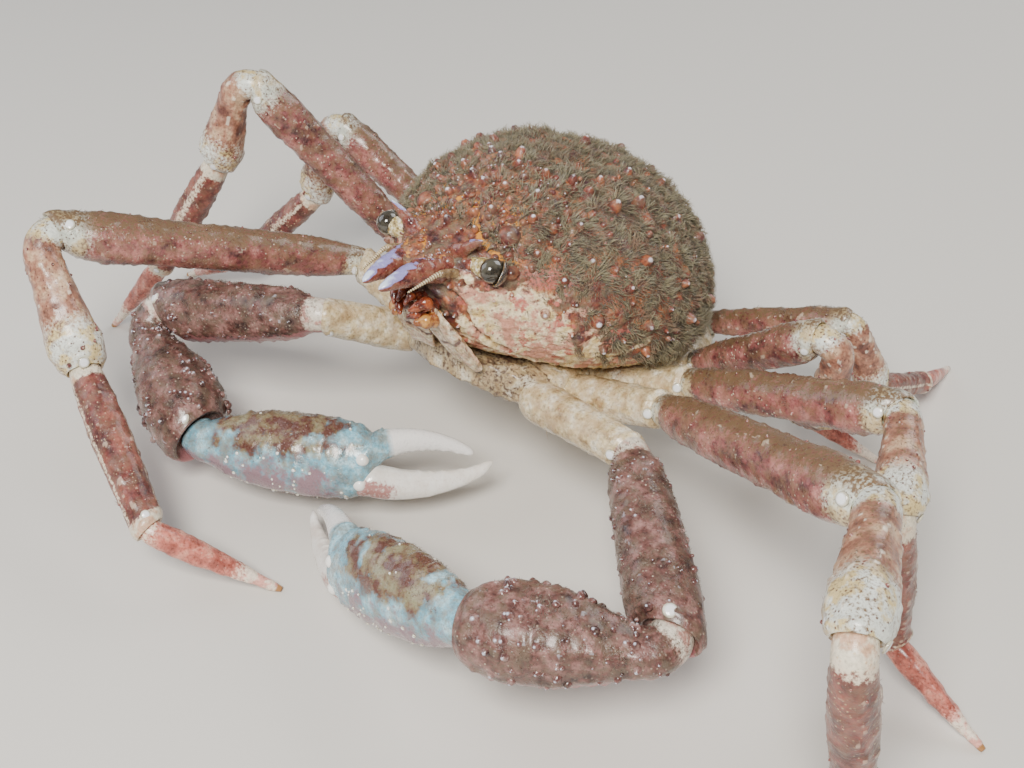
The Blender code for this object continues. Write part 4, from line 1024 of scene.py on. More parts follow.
def mouth_plates():
    """Outer mouth plates: a squared oval carried forward under the muzzle's slope, thinner to both ends,
    with a sunk seam, a raised fold and a ragged outer brim."""
    rows, columns = 70, 52
    turns = full_turn(columns)
    below = np.sin(turns) < 0
    station = np.array(MOUTH_PLATE)
    t = np.linspace(0, 1, rows)
    forward = station[0, 0] + (station[-1, 0] - station[0, 0]) * t
    left, wide, deep = (eased(forward, station[:, 0], station[:, k], 1.2)[:, None] for k in (1, 2, 3))
    forward = forward[:, None]
    rounding = (1 - np.clip(np.abs(t - 0.5) * 2, 0, 1) ** 10)[:, None]
    wide, deep = wide * (0.55 + 0.45 * rounding), deep * (0.3 + 0.7 * rounding)
    roof = FLOOR_OF_SHELL - GAP * 1.6 + FRONT_SLOPE * (forward - FRONT_BREAK)
    x, z = squared_ring(turns, 0.7, wide, deep)
    x = x * (1 - 0.45 * (x < 0) * (1 - smoothstep(forward, 47, 60)))
    seam = bell(x, 1.5, 0.8) + bell(forward - 0.25 * x, 58, 0.9)
    places = np.stack(np.broadcast_arrays(forward, x, z), -1)
    ragged = ripple(places, 6, 41) + 0.5 * ripple(places, 2.5, 42)
    fold = 0.9 * bell(x + 0.18 * (forward - 52), 6.0, 1.6)
    sink = (0.9 * seam - fold) * below
    brim = smoothstep(np.abs(x) / wide, 0.55, 1.0)
    dirt = np.maximum(0.7 * seam * below, 0.5 * brim * smoothstep(ragged, 0.3, 1.0))
    for side, word in SIDES:
        grid = body_point(forward + 0.7 * ragged * brim, side * (left + x * (1 + 0.07 * ragged)),
                          roof - deep + z + sink + 0.35 * ragged)
        closed_tube("mouth_plate_" + word, grid, FLANK, (0, 0, dirt), "mouthpart_" + word)


def palps():
    """Palps between the mouth plates: short tapered lines, waved along their length, with round ends."""
    turns = full_turn(22)
    for k, (knots, radii, pale) in enumerate(PALPS):
        for side, word in SIDES:
            line = [mirrored(p, side) for p in knots]
            centres, ways, sizes, t, _ = tapered_line(line, radii, 50, 0.06)
            sizes = sizes * (1 + 0.10 * np.sin(t * 19 + k)) * np.sqrt(np.clip((1 - t) * 12, 0, 1))
            sizes = np.maximum(sizes, 0.1)[:, None]
            grid = oval_rings(centres, ways, body_direction(0, 0, 1), sizes, sizes * 1.15, turns)
            stands_for = ("palps",) if (k, word) == (0, "left") else ()
            closed_tube("palp_%s_%d" % (word, k), grid, PALP, (0, pale, 0), replaces=stands_for,
                        slot="palps")


def sternum():
    """Sternum: a squared box section carried along the body, pinched between the limb roots, with a furrow
    along its middle; its front is browned towards the mouth as painted shade."""
    rows, columns = 130, 88
    back = -62
    forward = np.linspace(back, FRONT_BREAK, rows)[:, None]
    turns = full_turn(columns)
    stops = (back, -58, -52, SHOULDER, CLAW_CORNER[0], FRONT_BREAK)
    wide = eased(forward, stops, (24, 38, 43.4, 43.4, 33, 11), 0.8)
    levels = (-60, -64.4, -64.4, -CHEST_DEPTH - 0.6)
    bottom = eased(forward, (back, -56, SHOULDER, FRONT_BREAK), levels, 1.0)
    top = FLOOR_OF_SHELL - GAP
    x, z = squared_ring(turns, 0.35, wide, (top - bottom) / 2)
    pinch = sum(bell(forward, place, 1.1) for place in (26, 2.5, -17.5, -36.5)) * np.ones_like(x)
    lift = 1.3 * pinch * smoothstep(np.abs(x), 10, 16) + 0.8 * bell(x, 0, 1.2)
    lift = lift * (np.sin(turns) < -0.05)
    x = x * (1 - 0.02 * pinch)
    grid = body_point(forward + 0 * x, x, (top + bottom) / 2 + z + lift)
    plain = len(grid)
    grid = capped(grid)
    added = (len(grid) - plain) // 2
    pinch = np.pad(pinch, ((added, added), (0, 0)))
    # Painted shade: brown over the sternum's front, where the body's shade falls
    ahead = (grid - BODY) @ body_direction(1, 0, 0)
    shadow = smoothstep(ahead, 6, 30) * (0.46 + 0.09 * ripple(grid, 9, 91))
    uneven = 0.5 * ripple(grid, 6, 93) + 0.3 * ripple(grid, 2.6, 94)
    grid = grid + body_direction(0, 0, 1) * uneven[..., None]
    closed_tube("sternum_plates", grid, COXA, (0, 0, np.maximum(0.55 * pinch, shadow)), "sternum")


def abdomen():
    """Abdomen: a low tongue under the sternum with a step in its section at each of its rings."""
    rows, columns = 150, 88
    back, ring_length = -52, 13.0
    forward = np.linspace(back, 24, rows)[:, None]
    wide = eased(forward, (back, -49, -40, -10, 14, 22, 24), (5, 9, 15, 13, 9, 6, 2.0), 0.8)
    deep = eased(forward, (back, -40, -10, 14, 24), (2.0, 2.6, 2.6, 2.4, 1.0), 1.0)
    ridge = ((forward - back) / ring_length) % 1.0
    step = 0.82 + 0.18 * smoothstep(ridge, 0.0, 0.16) - 0.10 * smoothstep(ridge, 0.9, 1.0)
    x, z = squared_ring(full_turn(columns), 0.8, wide, deep)
    x, z = x * (0.97 + 0.03 * step), z * step
    grid = body_point(forward + 0 * x, x, -STERNUM_DEPTH - GAP - deep + z)
    closed_tube("abdomen_flap", grid, COXA, (0, 0, 0.5 * (step < 0.86)), "abdomen")


# Limbs

# Rings of a segment's hollow end: (share of the end's radius, depth in mm)
RIM = ((1.00, 0.10), (0.985, -0.15), (0.95, -0.18), (0.90, 0.10), (0.86, 0.9), (0.80, 2.2), (0.55, 3.0),
       (0.2, 3.2))
# Place of the knuckles along a segment, and the radii of its end and of the next one's neck as shares
KNUCKLE_SHARE = 0.955
TAIL_SHARE = 0.86
NECK_SHARE = 0.86
# Radius of the bend out of a joint over the neck's
BEND_SHARE = 1.25
# Reach that a form is eased over: in mm for limbs and palms, as a share of the length for fingers
LIMB_EASE = 2.2
PALM_EASE = 2.0
FINGER_EASE = 0.012


def segment(name, start, end, start_normal, end_normal, neck, form, size, tail, side, surface, seed, marks,
            rows=96, columns=48, sunk=2.4, height=0.45, pitch=3.6, ridge=0.03, foot=False,
            knobs=(0, 1.0, 1.0), knob_surface=None, knuckles=0.27, wool=0):
    """Limb segment: an oval tube whose radius runs through neck, form and tail along a path that bends
    out of the joint; its last rings lean into the joint's plane and turn in to a hollow cup. Warts in
    rows stand on it, and knobs, given as (count, smallest, largest), are strewn over its upper side. Its
    first rings are sunk in the segment before it, and ridge is how far its section departs from an oval."""
    bend = neck * BEND_SHARE
    walk, arc, run, heading = bent_path(start + start_normal * (GAP / 2), start_normal, end, bend)
    length = arc + run
    u = np.linspace(0, 1, rows)
    distance = -sunk + (length + sunk) * (u - 0.035 * np.sin(2 * math.pi * u))
    centres, ways = walk(distance)
    stations = [(-sunk, neck * 0.9, neck * 0.9), (0, neck, neck), (arc + 0.01, neck * 1.02, neck * 1.02)]
    stations += [(arc + run * share, size * deep, size * wide) for share, deep, wide in form]
    stations.append((length, tail, tail))
    deep, wide = formed(distance[:, None], stations, LIMB_EASE)
    share = np.clip(distance / length, 0, 1)[:, None]
    turns = full_turn(columns)[None, :]
    ribs = 1 + ridge * (np.cos(turns * 3 + 0.6) + 0.5 * np.cos(turns * 5 + seed)) * np.sin(math.pi * share)
    grid = oval_rings(centres, ways, side, deep * ribs, wide * ribs, turns)
    spread = unit(grid - centres[:, None])
    spots = wart_rows(length, pitch, seed, height=height)
    flat = np.ones((rows, columns))
    warts = wart_height(distance[:, None] * flat, turns * flat, (deep + wide) / 2 * flat, spots)
    body = smoothstep(share, 0.05, 0.16) * (1 - smoothstep(share, 0.93, 1.0))
    swell = 0
    if not foot:
        closing = 1 - 0.12 * smoothstep(distance, length - 0.45 * size, length) ** 2
        grid = centres[:, None] + (grid - centres[:, None]) * closing[:, None, None]
        swell = 0.35 * bell(share, KNUCKLE_SHARE, 0.025)
    relief = warts * body + 0.22 * ripple(grid, 7, seed + 2) * body + swell
    grid = grid + spread * relief[..., None]
    count, low, high = knobs
    if count:
        rng = np.random.default_rng(seed + 300)
        row = (rows * rng.uniform(0.16, 0.94, count)).astype(int)
        column = rng.integers(0, columns, count)
        keep = spread[row, column, 2] > -0.45
        row, column = row[keep], column[keep]
        radii = rng.uniform(low, high, len(row)) * (0.7 + 0.5 * row / rows)
        heights = radii * rng.uniform(0.7, 1.15, len(row))
        domes(name + "_knobs", grid[row, column], spread[row, column] + 0.2 * ways[row], radii, heights,
              knob_surface, sides=8, sunk=0.7, slot=name)
    if wool:
        woolly(name + "_wool", grid, spread, wool, seed, name)
    if foot:
        grid[..., 2] = np.maximum(grid[..., 2], 0)
    else:
        row = np.full(2, int(rows * KNUCKLE_SHARE))
        column = np.array((0, columns // 2))
        radius = tail * knuckles
        domes(name + "_knuckles", grid[row, column] - heading * 0.5, spread[row, column] + 0.35 * heading,
              np.full(2, radius), np.full(2, radius * 0.25), KNUCKLE, sides=18, sunk=0.9, blunt=0.95,
              slot=name)
        along = end - heading * (GAP / 2) / (heading @ end_normal)
        lean = smoothstep(distance, length - 1.7 * tail, length)[:, None]
        slip = ((centres[:, None] - grid) @ end_normal) / (heading @ end_normal)
        grid = grid + heading * (slip * lean)[..., None]
        last = grid[-1] + (along - centres[-1])
        middle = last.mean(0)
        rim = [middle + (last - middle) * shrink - end_normal * back for shrink, back in RIM]
        grid = np.concatenate((grid[:-1], np.array(rim)))
        added = len(RIM) - 1
        warts, share, body = (np.pad(part, ((0, added), (0, 0)), constant_values=value)
                              for part, value in ((warts, 0), (share, 1), (body, 0)))
        spread = np.concatenate((spread, np.repeat(spread[-1:], added, 0)))
    tint = marks(share * np.ones(columns), spread[..., 2] * 0.5 + 0.5, warts * body / height)
    closed_tube(name + "_skin", grid, surface, tint, name)


def leg_marks(share, up, warts):
    """Pale dots on the warts, pale cuffs that run out along the sides, and a brown film on top."""
    cuff = np.maximum(smoothstep(share, 0.80, 0.97) * (0.55 + 0.45 * up),
                      0.9 * (1 - smoothstep(share, 0.02, 0.12)))
    return 0.60 * smoothstep(warts, 0.45, 1.0), cuff * 0.85, 0.58 * smoothstep(up, 0.50, 0.95)


def carpus_marks(share, up, warts):
    """Pale dots on the warts, a broad pale cuff on the upper side, and a little brown film on top."""
    cuff = np.maximum(smoothstep(share, 0.40, 0.85) * 0.9, 1 - smoothstep(share, 0.04, 0.2))
    return 0.66 * smoothstep(warts, 0.35, 0.9), cuff * (0.35 + 0.5 * up), 0.42 * smoothstep(up, 0.6, 1.0)


def propodus_marks(share, up, warts):
    """Pale dots on the warts, a narrow pale cuff at each end, and a pale stripe along the upper side."""
    cuff = np.maximum(smoothstep(share, 0.90, 0.97), 1 - smoothstep(share, 0.03, 0.12))
    return 0.6 * smoothstep(warts, 0.4, 0.9), cuff, 0.55 * bell(up, 0.62, 0.10)


def foot_marks(share, up, warts):
    """Amber point, cream before it, and a pale ring at the joint."""
    point = smoothstep(share, 0.93, 0.98)
    return point, 0.8 * smoothstep(share, 0.45, 0.85), 0.5 * (1 - smoothstep(share, 0.0, 0.12))


def coxa_marks(share, up, warts):
    """Painted shade: brown towards the lower side."""
    return 0, 0, 0.42 * (1 - up)


def claw_marks(share, up, warts):
    """Glossy dots on the warts, a pale ring at the joint, and rose below."""
    pale = 0.9 * (1 - smoothstep(share, 0.02, 0.1))
    return 0.6 * smoothstep(warts, 0.5, 1.0), pale, 0.8 * (1 - smoothstep(up, 0.1, 0.5))


# Segments of a leg: name, form, surface, marks, rows of its grid, knobs and tufts
LEG_PLANS = (
    ("merus", MERUS_FORM, LEG, leg_marks, 120, 22, 1700),
    ("carpus", CARPUS_FORM, CARPUS, carpus_marks, 80, 14, 300),
    ("propodus", PROPODUS_FORM, LEG_END, propodus_marks, 90, 10, 500),
)
# Arm segments of a claw: name, knobs as (count, smallest, largest), and tufts
CLAW_PLANS = (("merus", (80, 0.6, 1.8), 5000), ("carpus", (150, 0.7, 2.2), 6000))


def limb_joints(end, poses, lengths):
    """Joints and directions of a limb: each joint is the one before it plus a direction times a length."""
    joints = [np.array(end, float) + BODY]
    ways = [heading_direction(heading, rise) for heading, rise in poses]
    for way, length in zip(ways, lengths):
        joints.append(joints[-1] + way * length)
    return joints, ways


def limb_root(name, kind, sign, end, next_way):
    """Base of a limb, from the side of the sternum to its first joint; gives that joint's normal."""
    if kind == "claw":
        ahead = CLAW_CORNER[0] - SHOULDER
        aside = STERNUM_HALF_WIDTH - CLAW_CORNER[1]
        start = body_point(SHOULDER + ahead / 2, sign * (STERNUM_HALF_WIDTH - aside / 2), COXA_LEVEL)
        out = unit(body_direction(aside, sign * ahead, 0))
    else:
        start = body_point(ROOT_FORWARD[kind], sign * STERNUM_HALF_WIDTH, COXA_LEVEL)
        out = body_direction(0, sign, 0)
    radius = ROOT_RADIUS[kind]
    normal = joint_normal(unit(end - start), next_way)
    segment(name, start + out * (GAP / 2), end, out, normal, radius * 0.98, COXA_FORM, radius,
            radius * TAIL_SHARE, body_direction(1, 0, 0), COXA, int(abs(end[0])), coxa_marks, rows=70,
            height=0.35, pitch=5.0)
    return normal


def leg(name):
    """Walking leg: its root, three segments in their joints' planes, and a foot that drops to the floor."""
    kind, word = name.split("_")
    end, poses, foot_heading = LEG_POSES[name]
    sizes = LEG_SIZES[kind]
    joints, ways = limb_joints(end, poses, LEG_LENGTHS[kind])
    foot_length = FOOT_LENGTHS[kind]
    drop = math.degrees(math.asin(joints[-1][2] / foot_length))
    ways.append(heading_direction(foot_heading, -drop))
    joints.append(joints[-1] + ways[-1] * foot_length)
    side = chain_side(ways)
    normal = limb_root(name + "_base", kind, 1 if word == "left" else -1, joints[0], ways[0])
    seed = int(kind[3]) * 7 + (word == "left") * 40
    tail = ROOT_RADIUS[kind] * TAIL_SHARE
    for k, (label, form, surface, marks, rows, knobs, wool) in enumerate(LEG_PLANS):
        after = joint_normal(ways[k], ways[k + 1])
        neck = min(sizes[k] * 0.80, tail * NECK_SHARE)
        tail = sizes[k] * TAIL_SHARE
        segment(name + "_" + label, joints[k], joints[k + 1], normal, after, neck, form, sizes[k], tail,
                side, surface, seed + k, marks, rows=rows, height=0.55, knobs=(knobs, 0.4, 0.95),
                knob_surface=LEG_KNOB, wool=wool)
        normal = after
    neck = min(sizes[3] * 0.86, tail * NECK_SHARE)
    segment(name + "_dactyl", joints[3], joints[4], normal, ways[3], neck, FOOT_FORM, sizes[3], 1.3, side,
            FOOT, seed + 5, foot_marks, rows=80, columns=36, height=0.2, ridge=0.07, foot=True)


def claw(word):
    """Claw limb: its root, two warty arm segments in their joints' planes, and the hand."""
    sign = 1 if word == "left" else -1
    end, poses = CLAW_POSES[word]
    name = "claw_" + word
    joints, ways = limb_joints(end, poses, CLAW_LENGTHS)
    side = chain_side(ways[:3])
    normal = limb_root(name + "_base", "claw", sign, joints[0], ways[0])
    for k, (label, knobs, wool) in enumerate(CLAW_PLANS):
        after = joint_normal(ways[k], ways[k + 1])
        size = CLAW_SIZES[k]
        segment(name + "_" + label, joints[k], joints[k + 1], normal, after, CLAW_NECKS[k] * 0.92,
                CLAW_FORMS[k], size, size * TAIL_SHARE, side, CLAW_ARM, 60 + k + 9 * sign, claw_marks,
                rows=120, columns=64, height=0.75, pitch=4.2, ridge=0.04, knobs=knobs,
                knob_surface=KNOB, knuckles=0.24, wool=wool)
        normal = after
    high = unit(CLAW_UP - ways[2] * (CLAW_UP @ ways[2]))
    thick = np.cross(ways[2], high)
    heading = palm(name, joints, ways, normal, high, thick)
    moving_finger(name, joints[3], heading, ways[3], high, thick)
    upper = [joints[3] + high * 1.5 - heading * 2.0 + thick * 8.2 * way for way in (1, -1)]
    under = [joints[3] - high * 9.4 - heading * 2.4 + thick * 6.4 * way for way in (1, -1)]
    out = [thick, -thick, thick - high * 0.4, -thick - high * 0.4]
    domes(name + "_palm_condyles", upper + under, out, (3.0, 3.0, 2.8, 2.8), (2.4, 2.4, 2.0, 2.0), FINGER,
          sides=20, blunt=0.95, slot=name + "_palm", sunk=0.5)


def bowed_line(root, tip, bow, t):
    """Places and directions along root + (tip - root) t + bow 4t (1 - t), without the bow before t = 0."""
    bend = 4 * t * (1 - t) * (t > 0)
    slope = np.where(t > 0, 4 - 8 * t, 4)
    places = root + (tip - root) * t[:, None] + bow * bend[:, None]
    return places, unit((tip - root) + bow * slope[:, None])


def palm(name, joints, ways, normal, high, thick):
    """Palm, an oval tube of eased depth and width, that narrows into its bowed fixed finger; it gives the
    palm's heading at its end. Warts, a toothed cutting edge and a low crest stand on it."""
    end = joints[3]
    walk, arc, run, heading = bent_path(joints[2] + normal * (GAP / 2), normal, end, PALM_BEND)
    finger_root = end + high * FINGER_RISE + heading
    finger_tip = end + high * 3.4 + ways[3] * (CLAW_LENGTHS[3] - 8) - heading
    columns, rows, finger_rows = 76, 110, 96
    turns = full_turn(columns)[None, :]
    distance = np.linspace(-PALM_SUNK, arc + run * 0.985, rows)
    centres, palm_ways = walk(distance)
    stations = [(place, *neck) for place, neck in zip((-PALM_SUNK, 0, arc), PALM_NECK)]
    stations += [(arc + run * share, deep, wide) for share, deep, wide in PALM_FORM]
    deep, wide = formed(distance, stations, PALM_EASE)
    close = smoothstep(distance, arc + run * 0.90, arc + run * 0.985)
    deep = deep * (1 - 0.13 * close ** 2)
    t = np.linspace(0, 1, finger_rows + 1)[1:]
    finger, slope = bowed_line(finger_root, finger_tip, high * FIXED_BOW, t)
    turned = smoothstep(t, 0.0, 0.16)[:, None]
    slope = unit(heading * (1 - turned) + slope * turned)
    sink = high * (-3.4 * (1 - smoothstep(t, 0.0, 0.06)))[:, None]
    finger_deep, finger_wide = formed(t, FIXED_FINGER_FORM, FINGER_EASE)
    centres = np.vstack((centres, finger + sink))
    deep = np.concatenate((deep, finger_deep))[:, None]
    wide = np.concatenate((wide, finger_wide))[:, None]
    grid = oval_rings(centres, np.vstack((palm_ways, slope)), thick, deep, wide, turns)
    spread = unit(grid - centres[:, None])
    height_on = spread @ high
    on_palm = smoothstep(distance, arc, arc + 8) * (1 - 0.6 * close)
    on_palm = np.concatenate((on_palm, np.zeros(finger_rows)))[:, None]
    s = np.concatenate((distance, arc + run + t * FINGER_SPAN))[:, None] * np.ones_like(turns)
    spots = wart_rows(arc + run, 4.4, 77, rows=14, height=0.5)
    warts = wart_height(s, turns * np.ones_like(s), 14 * np.ones_like(s), spots) * on_palm
    toothed = smoothstep(t, 0.25, 0.4) * (1 - smoothstep(t, 0.9, 1))
    toothed = np.concatenate((np.zeros(rows), toothed))[:, None]
    teeth = toothed * np.maximum(0, np.sin(s / TOOTH_PITCH * math.pi + np.sin(s / 4.1)))
    teeth = teeth * smoothstep(-height_on, 0.75, 0.98)
    crest = 0.6 * np.maximum(0, np.sin(s / CREST_PITCH * math.pi)) ** 3 * on_palm
    crest = crest * smoothstep(height_on, 0.86, 0.99)
    relief = warts + 0.35 * teeth + crest + 0.3 * ripple(grid, 11, 12) * on_palm
    grid = grid + spread * relief[..., None]
    share = np.clip((s - arc) / run, 0, 2)
    shake = 0.26 * ripple(grid, 14, 15) + 0.16 * ripple(grid, 5, 16)
    patch = on_palm * smoothstep(height_on + shake, -0.55, 0.45)
    patch = patch * smoothstep(share + shake * 0.5, -0.05, 0.2)
    patch = patch * (1 - smoothstep(share + shake * 0.7, 0.60, 0.98))
    lower = 0.95 * (1 - smoothstep(height_on + shake, -1.0, -0.1)) * (1 - smoothstep(share, 0.72, 0.95))
    white = np.maximum(smoothstep(share, 1.0, 1.14), 0.6 * smoothstep(warts, 0.55, 1.0))
    closed_tube(name + "_palm_skin", grid, PALM, (white, patch, lower), name + "_palm")
    rng = np.random.default_rng(31)
    knobs = 130
    row = rng.integers(24, 100, knobs)
    column = rng.integers(0, columns, knobs)
    keep = (np.abs(height_on[row, column] + 0.7) < 0.5) | (rng.uniform(size=knobs) < 0.15)
    row, column = row[keep], column[keep]
    domes(name + "_palm_knobs", grid[row, column], spread[row, column], rng.uniform(0.4, 1.0, len(row)),
          rng.uniform(0.3, 0.7, len(row)), KNUCKLE, sides=8, sunk=0.8, blunt=0.9, slot=name + "_palm")
    woolly(name + "_palm_wool", grid, spread, 6500, 9, name + "_palm", patch)
    return heading


def moving_finger(name, end, heading, bend, high, thick):
    """Hinged finger: an oval tube bowed downwards, round at its root, toothed on its upper edge, and turned
    up at its tip."""
    rows, columns = 120, 76
    root = end - high * FINGER_RISE + heading * (GAP * 1.5)
    tip = end - high * 1.8 + bend * CLAW_LENGTHS[3]
    t = np.linspace(-0.13, 1, rows)
    centres, slope = bowed_line(root, tip, high * MOVING_BOW, t)
    round_end = np.sqrt(np.clip(1 - (np.minimum(t + 0.02, 0) / 0.115) ** 2, 0.01, 1))
    deep, wide = formed(t, MOVING_FINGER_FORM, FINGER_EASE)
    deep, wide = (deep * round_end)[:, None], (wide * round_end)[:, None]
    grid = oval_rings(centres, slope, thick, deep, wide, full_turn(columns)[None, :])
    spread = unit(grid - centres[:, None])
    teeth = np.maximum(0, np.sin(t * 52 + np.sin(t * 13))) * smoothstep(t, 0.22, 0.35)
    teeth = (teeth * (1 - smoothstep(t, 0.9, 1.0)))[:, None] * smoothstep(spread @ high, 0.75, 0.98)
    grid = grid + spread * (0.35 * teeth + 0.15 * ripple(grid, 9, 6))[..., None]
    grid = grid + high * (1.6 * smoothstep(t, 0.84, 1.0) ** 2)[:, None, None]
    stain = 0.62 * (1 - smoothstep(t, 0.10, 0.34))[:, None] * (1 - smoothstep(spread @ high, -0.2, 0.6))
    closed_tube(name + "_dactyl_skin", grid, FINGER, (0, 0, stain), name + "_dactyl")


# Tubercles and growth of the back

# Layers of growth: name, tries, lengths, half widths, unevenness of the lengths, curved or not, and seed
GROWTH_LAYERS = (
    ("growth_pile", 235000, (1.1, 2.7), (0.10, 0.19), 0.35, False, 2),
    ("growth_locks", 66000, (3.0, 6.2), (0.13, 0.24), 0.30, True, 3),
)
PIECE_TRIANGLES = 196000
# Radius of the back's round map where its slant is 180 degrees
MAP_REACH = 0.49


def back_tubercles():
    """Tubercles of the back in their rows, with strewn small ones and finer ones over the front."""
    small, fine = 190, 260
    rows = [(bearing * side, slant, *KINDS[kind]) for kind, slant, bearings in SPINE_ROWS
            for bearing in bearings for side in (-1, 1)]
    rows += [(bearing, slant, *KINDS[kind]) for kind, bearing, slants in MIDLINE_SPINES for slant in slants]
    rng = np.random.default_rng(4)
    strewn = np.stack((rng.uniform(-180, 180, small), np.degrees(np.arccos(rng.uniform(-0.25, 0.97, small))),
                       rng.uniform(0.8, 1.5, small), rng.uniform(0.8, 1.8, small)), -1)
    front = np.stack((rng.normal(0, 28, fine), rng.uniform(20, 68, fine),
                      rng.uniform(0.7, 1.7, fine), rng.uniform(0.6, 1.4, fine)), -1)
    bearing, slant, radius, tall = np.vstack((rows, strewn, front)).T
    places, ways = shell_places(bearing, slant)
    height, bare, _, _ = shell_relief(bearing, slant)
    ways = ways + rng.normal(size=ways.shape) * 0.08
    shrunk = 1 - 0.35 * bare
    # Painted highlight: how much of each tubercle's white tip shows, less on the broad bosses
    tipped = np.where(radius > tall, 0.86, 1.0) + rng.uniform(-0.06, 0.04, len(radius))
    domes("back_tubercles", places + ways * (height * 0.6)[:, None], ways, radius * 1.05 * shrunk,
          (tall + 0.3) * shrunk, TUBERCLE, sides=10, sunk=0.5, blunt=0.72, pale=0.7 * bare, tipped=tipped)


def growth_density(forward, left, up, bearing, slant):
    """Share of the shell that is covered: thick over the back and rear, thin over the knobbed front,
    none on the face and the bare flank, broken into patches by slow ripples."""
    folded = folded_bearing(bearing)
    points = np.stack((forward, left, up), -1)
    thick = 1.0 - 0.62 * np.exp(-((forward - 38) / 22) ** 2 - (np.abs(left) / 34) ** 2)
    face = smoothstep(forward, 48, 58)
    ragged = folded + 16 * ripple(points, 8, 33) - 0.6 * (slant - 90)
    flank = smoothstep(slant, 64, 76) * (1 - smoothstep(ragged, 44, 80)) * smoothstep(folded, 6, 12)
    patch = 0.6 * smoothstep(ripple(points, 22, 13), 0.2, 0.9)
    patch = patch + 0.6 * smoothstep(ripple(points, 8, 19), 0.2, 0.8)
    side = smoothstep(slant, 62, 76) * (1 - smoothstep(folded, 84, 112))
    patch = np.maximum(patch, 1.7 * side * smoothstep(ripple(points, 7, 39), -0.3, 0.4))
    cover = thick * (1 - face) * (1 - flank) - patch * 0.42
    return np.where(cover > 0.07, np.clip(cover, 0, 1), 0) * (slant < 122)


def tufts(name, places, ways, lies, lengths, widths, shades, surface, slot, centres, curved=True):
    """Tapered three-sided tufts joined in pieces of under 200,000 triangles. A curved one rises through a
    middle ring and then leans over along its lie; a plain one runs straight to its tip. Each tuft's map
    patch is a ring about 0.003 across at its root's place on an unwrap of the skin."""
    side = unit(np.cross(ways, lies) + 1e-6)
    other = unit(np.cross(side, ways))
    corners = full_turn(3)
    spoke = side[:, None] * np.cos(corners)[None, :, None] + other[:, None] * np.sin(corners)[None, :, None]
    low = places[:, None] + spoke * widths[:, None, None]
    star = np.stack((np.cos(corners), np.sin(corners)), -1)
    if curved:
        middle = places + (ways * 0.72 + lies * 0.42) * (lengths * 0.52)[:, None]
        tips = middle + (ways * 0.30 + lies * 0.88) * (lengths * 0.55)[:, None]
        ring = middle[:, None] + spoke * (widths * 0.75)[:, None, None]
        points = np.concatenate((low, ring, tips[:, None]), 1)
        near = np.array((0, 0, 0, 0.5, 0.5, 0.5, 1.0))
        star = np.concatenate((star * 0.0015, star * 0.0008, np.zeros((1, 2))))
        faces = np.array(((0, 1, 4), (0, 4, 3), (1, 2, 5), (1, 5, 4), (2, 0, 3), (2, 3, 5),
                          (3, 4, 6), (4, 5, 6), (5, 3, 6), (2, 1, 0)))
    else:
        tips = places + unit(ways * 0.62 + lies) * lengths[:, None]
        points = np.concatenate((low, tips[:, None]), 1)
        near = np.array((0, 0, 0, 1.0))
        star = np.concatenate((star * 0.0015, np.zeros((1, 2))))
        faces = np.array(((0, 1, 3), (1, 2, 3), (2, 0, 3), (2, 1, 0)))
    stride = points.shape[1]
    share = PIECE_TRIANGLES // len(faces)
    order = np.argsort(centres[:, 0], kind="stable")
    for k, first in enumerate(range(0, len(places), share)):
        pick = order[first:first + share]
        tris = (np.arange(len(pick)) * stride)[:, None, None] + faces[None]
        marks = np.zeros((len(pick), stride, 3))
        marks[..., 0] = near
        marks[..., 1] = shades[pick][:, None]
        patches = centres[pick][:, None] + star[None]
        put("%s_%d" % (name, k), points[pick].reshape(-1, 3), np.zeros((0, 4)), tris.reshape(-1, 3),
            surface, marks.reshape(-1, 3), patches=patches.reshape(-1, 2), slot=slot)


def combed(places, ways, rng, stray):
    """Direction along the skin: backward and down, turned by slow ripples so that locks form, and strayed
    by random amounts."""
    drift = [ripple(places, 13, 50 + k) + 0.6 * ripple(places, 5, 60 + k) for k in range(3)]
    drift = np.stack(drift, -1) * 0.9
    lie = body_direction(-0.7, 0, -0.3) + drift + rng.normal(size=places.shape) * stray
    return unit(lie - ways * np.einsum("ij,ij->i", lie, ways)[:, None])


def growth():
    """Woolly growth of the back: a dense pile of short straight tufts and, over it, longer curved ones
    gathered in tussocks, longest along the rear and side rims. Both are strewn at random and kept where
    the density says."""
    for name, tries, lengths, widths, uneven, curved, seed in GROWTH_LAYERS:
        rng = np.random.default_rng(seed)
        bearing = rng.uniform(-180, 180, tries)
        slant = np.degrees(np.arccos(rng.uniform(-0.52, 1.0, tries)))
        forward, left, up = dome(bearing, slant)
        tussock = ripple(np.stack((forward, left, up), -1), 6, 23)
        chance = growth_density(forward, left, up, bearing, slant)
        if curved:
            chance = chance * smoothstep(tussock, -0.7, 0.5)
        keep = rng.uniform(size=tries) < chance
        bearing, slant, tussock = bearing[keep], slant[keep], tussock[keep]
        places, ways = shell_places(bearing, slant)
        places = places + ways * (shell_relief(bearing, slant)[0] - 0.2)[:, None]
        count = len(places)
        fringe = smoothstep(slant, 80, 104) * smoothstep(np.abs(bearing), 66, 92)
        length = rng.uniform(*lengths, count) * (1 + uneven * tussock) * (1 + 0.5 * fringe)
        width = rng.uniform(*widths, count)
        angle, far = np.radians(bearing), slant / 180 * MAP_REACH
        centres = np.stack((0.5 + far * np.cos(angle), 0.5 + far * np.sin(angle)), -1)
        shade = np.clip(0.5 + 0.28 * tussock + rng.normal(size=count) * 0.16, 0, 1)
        tufts(name, places, ways, combed(places, ways, rng, 0.35), length, width, shade, GROWTH, "carapace",
              centres, curved)


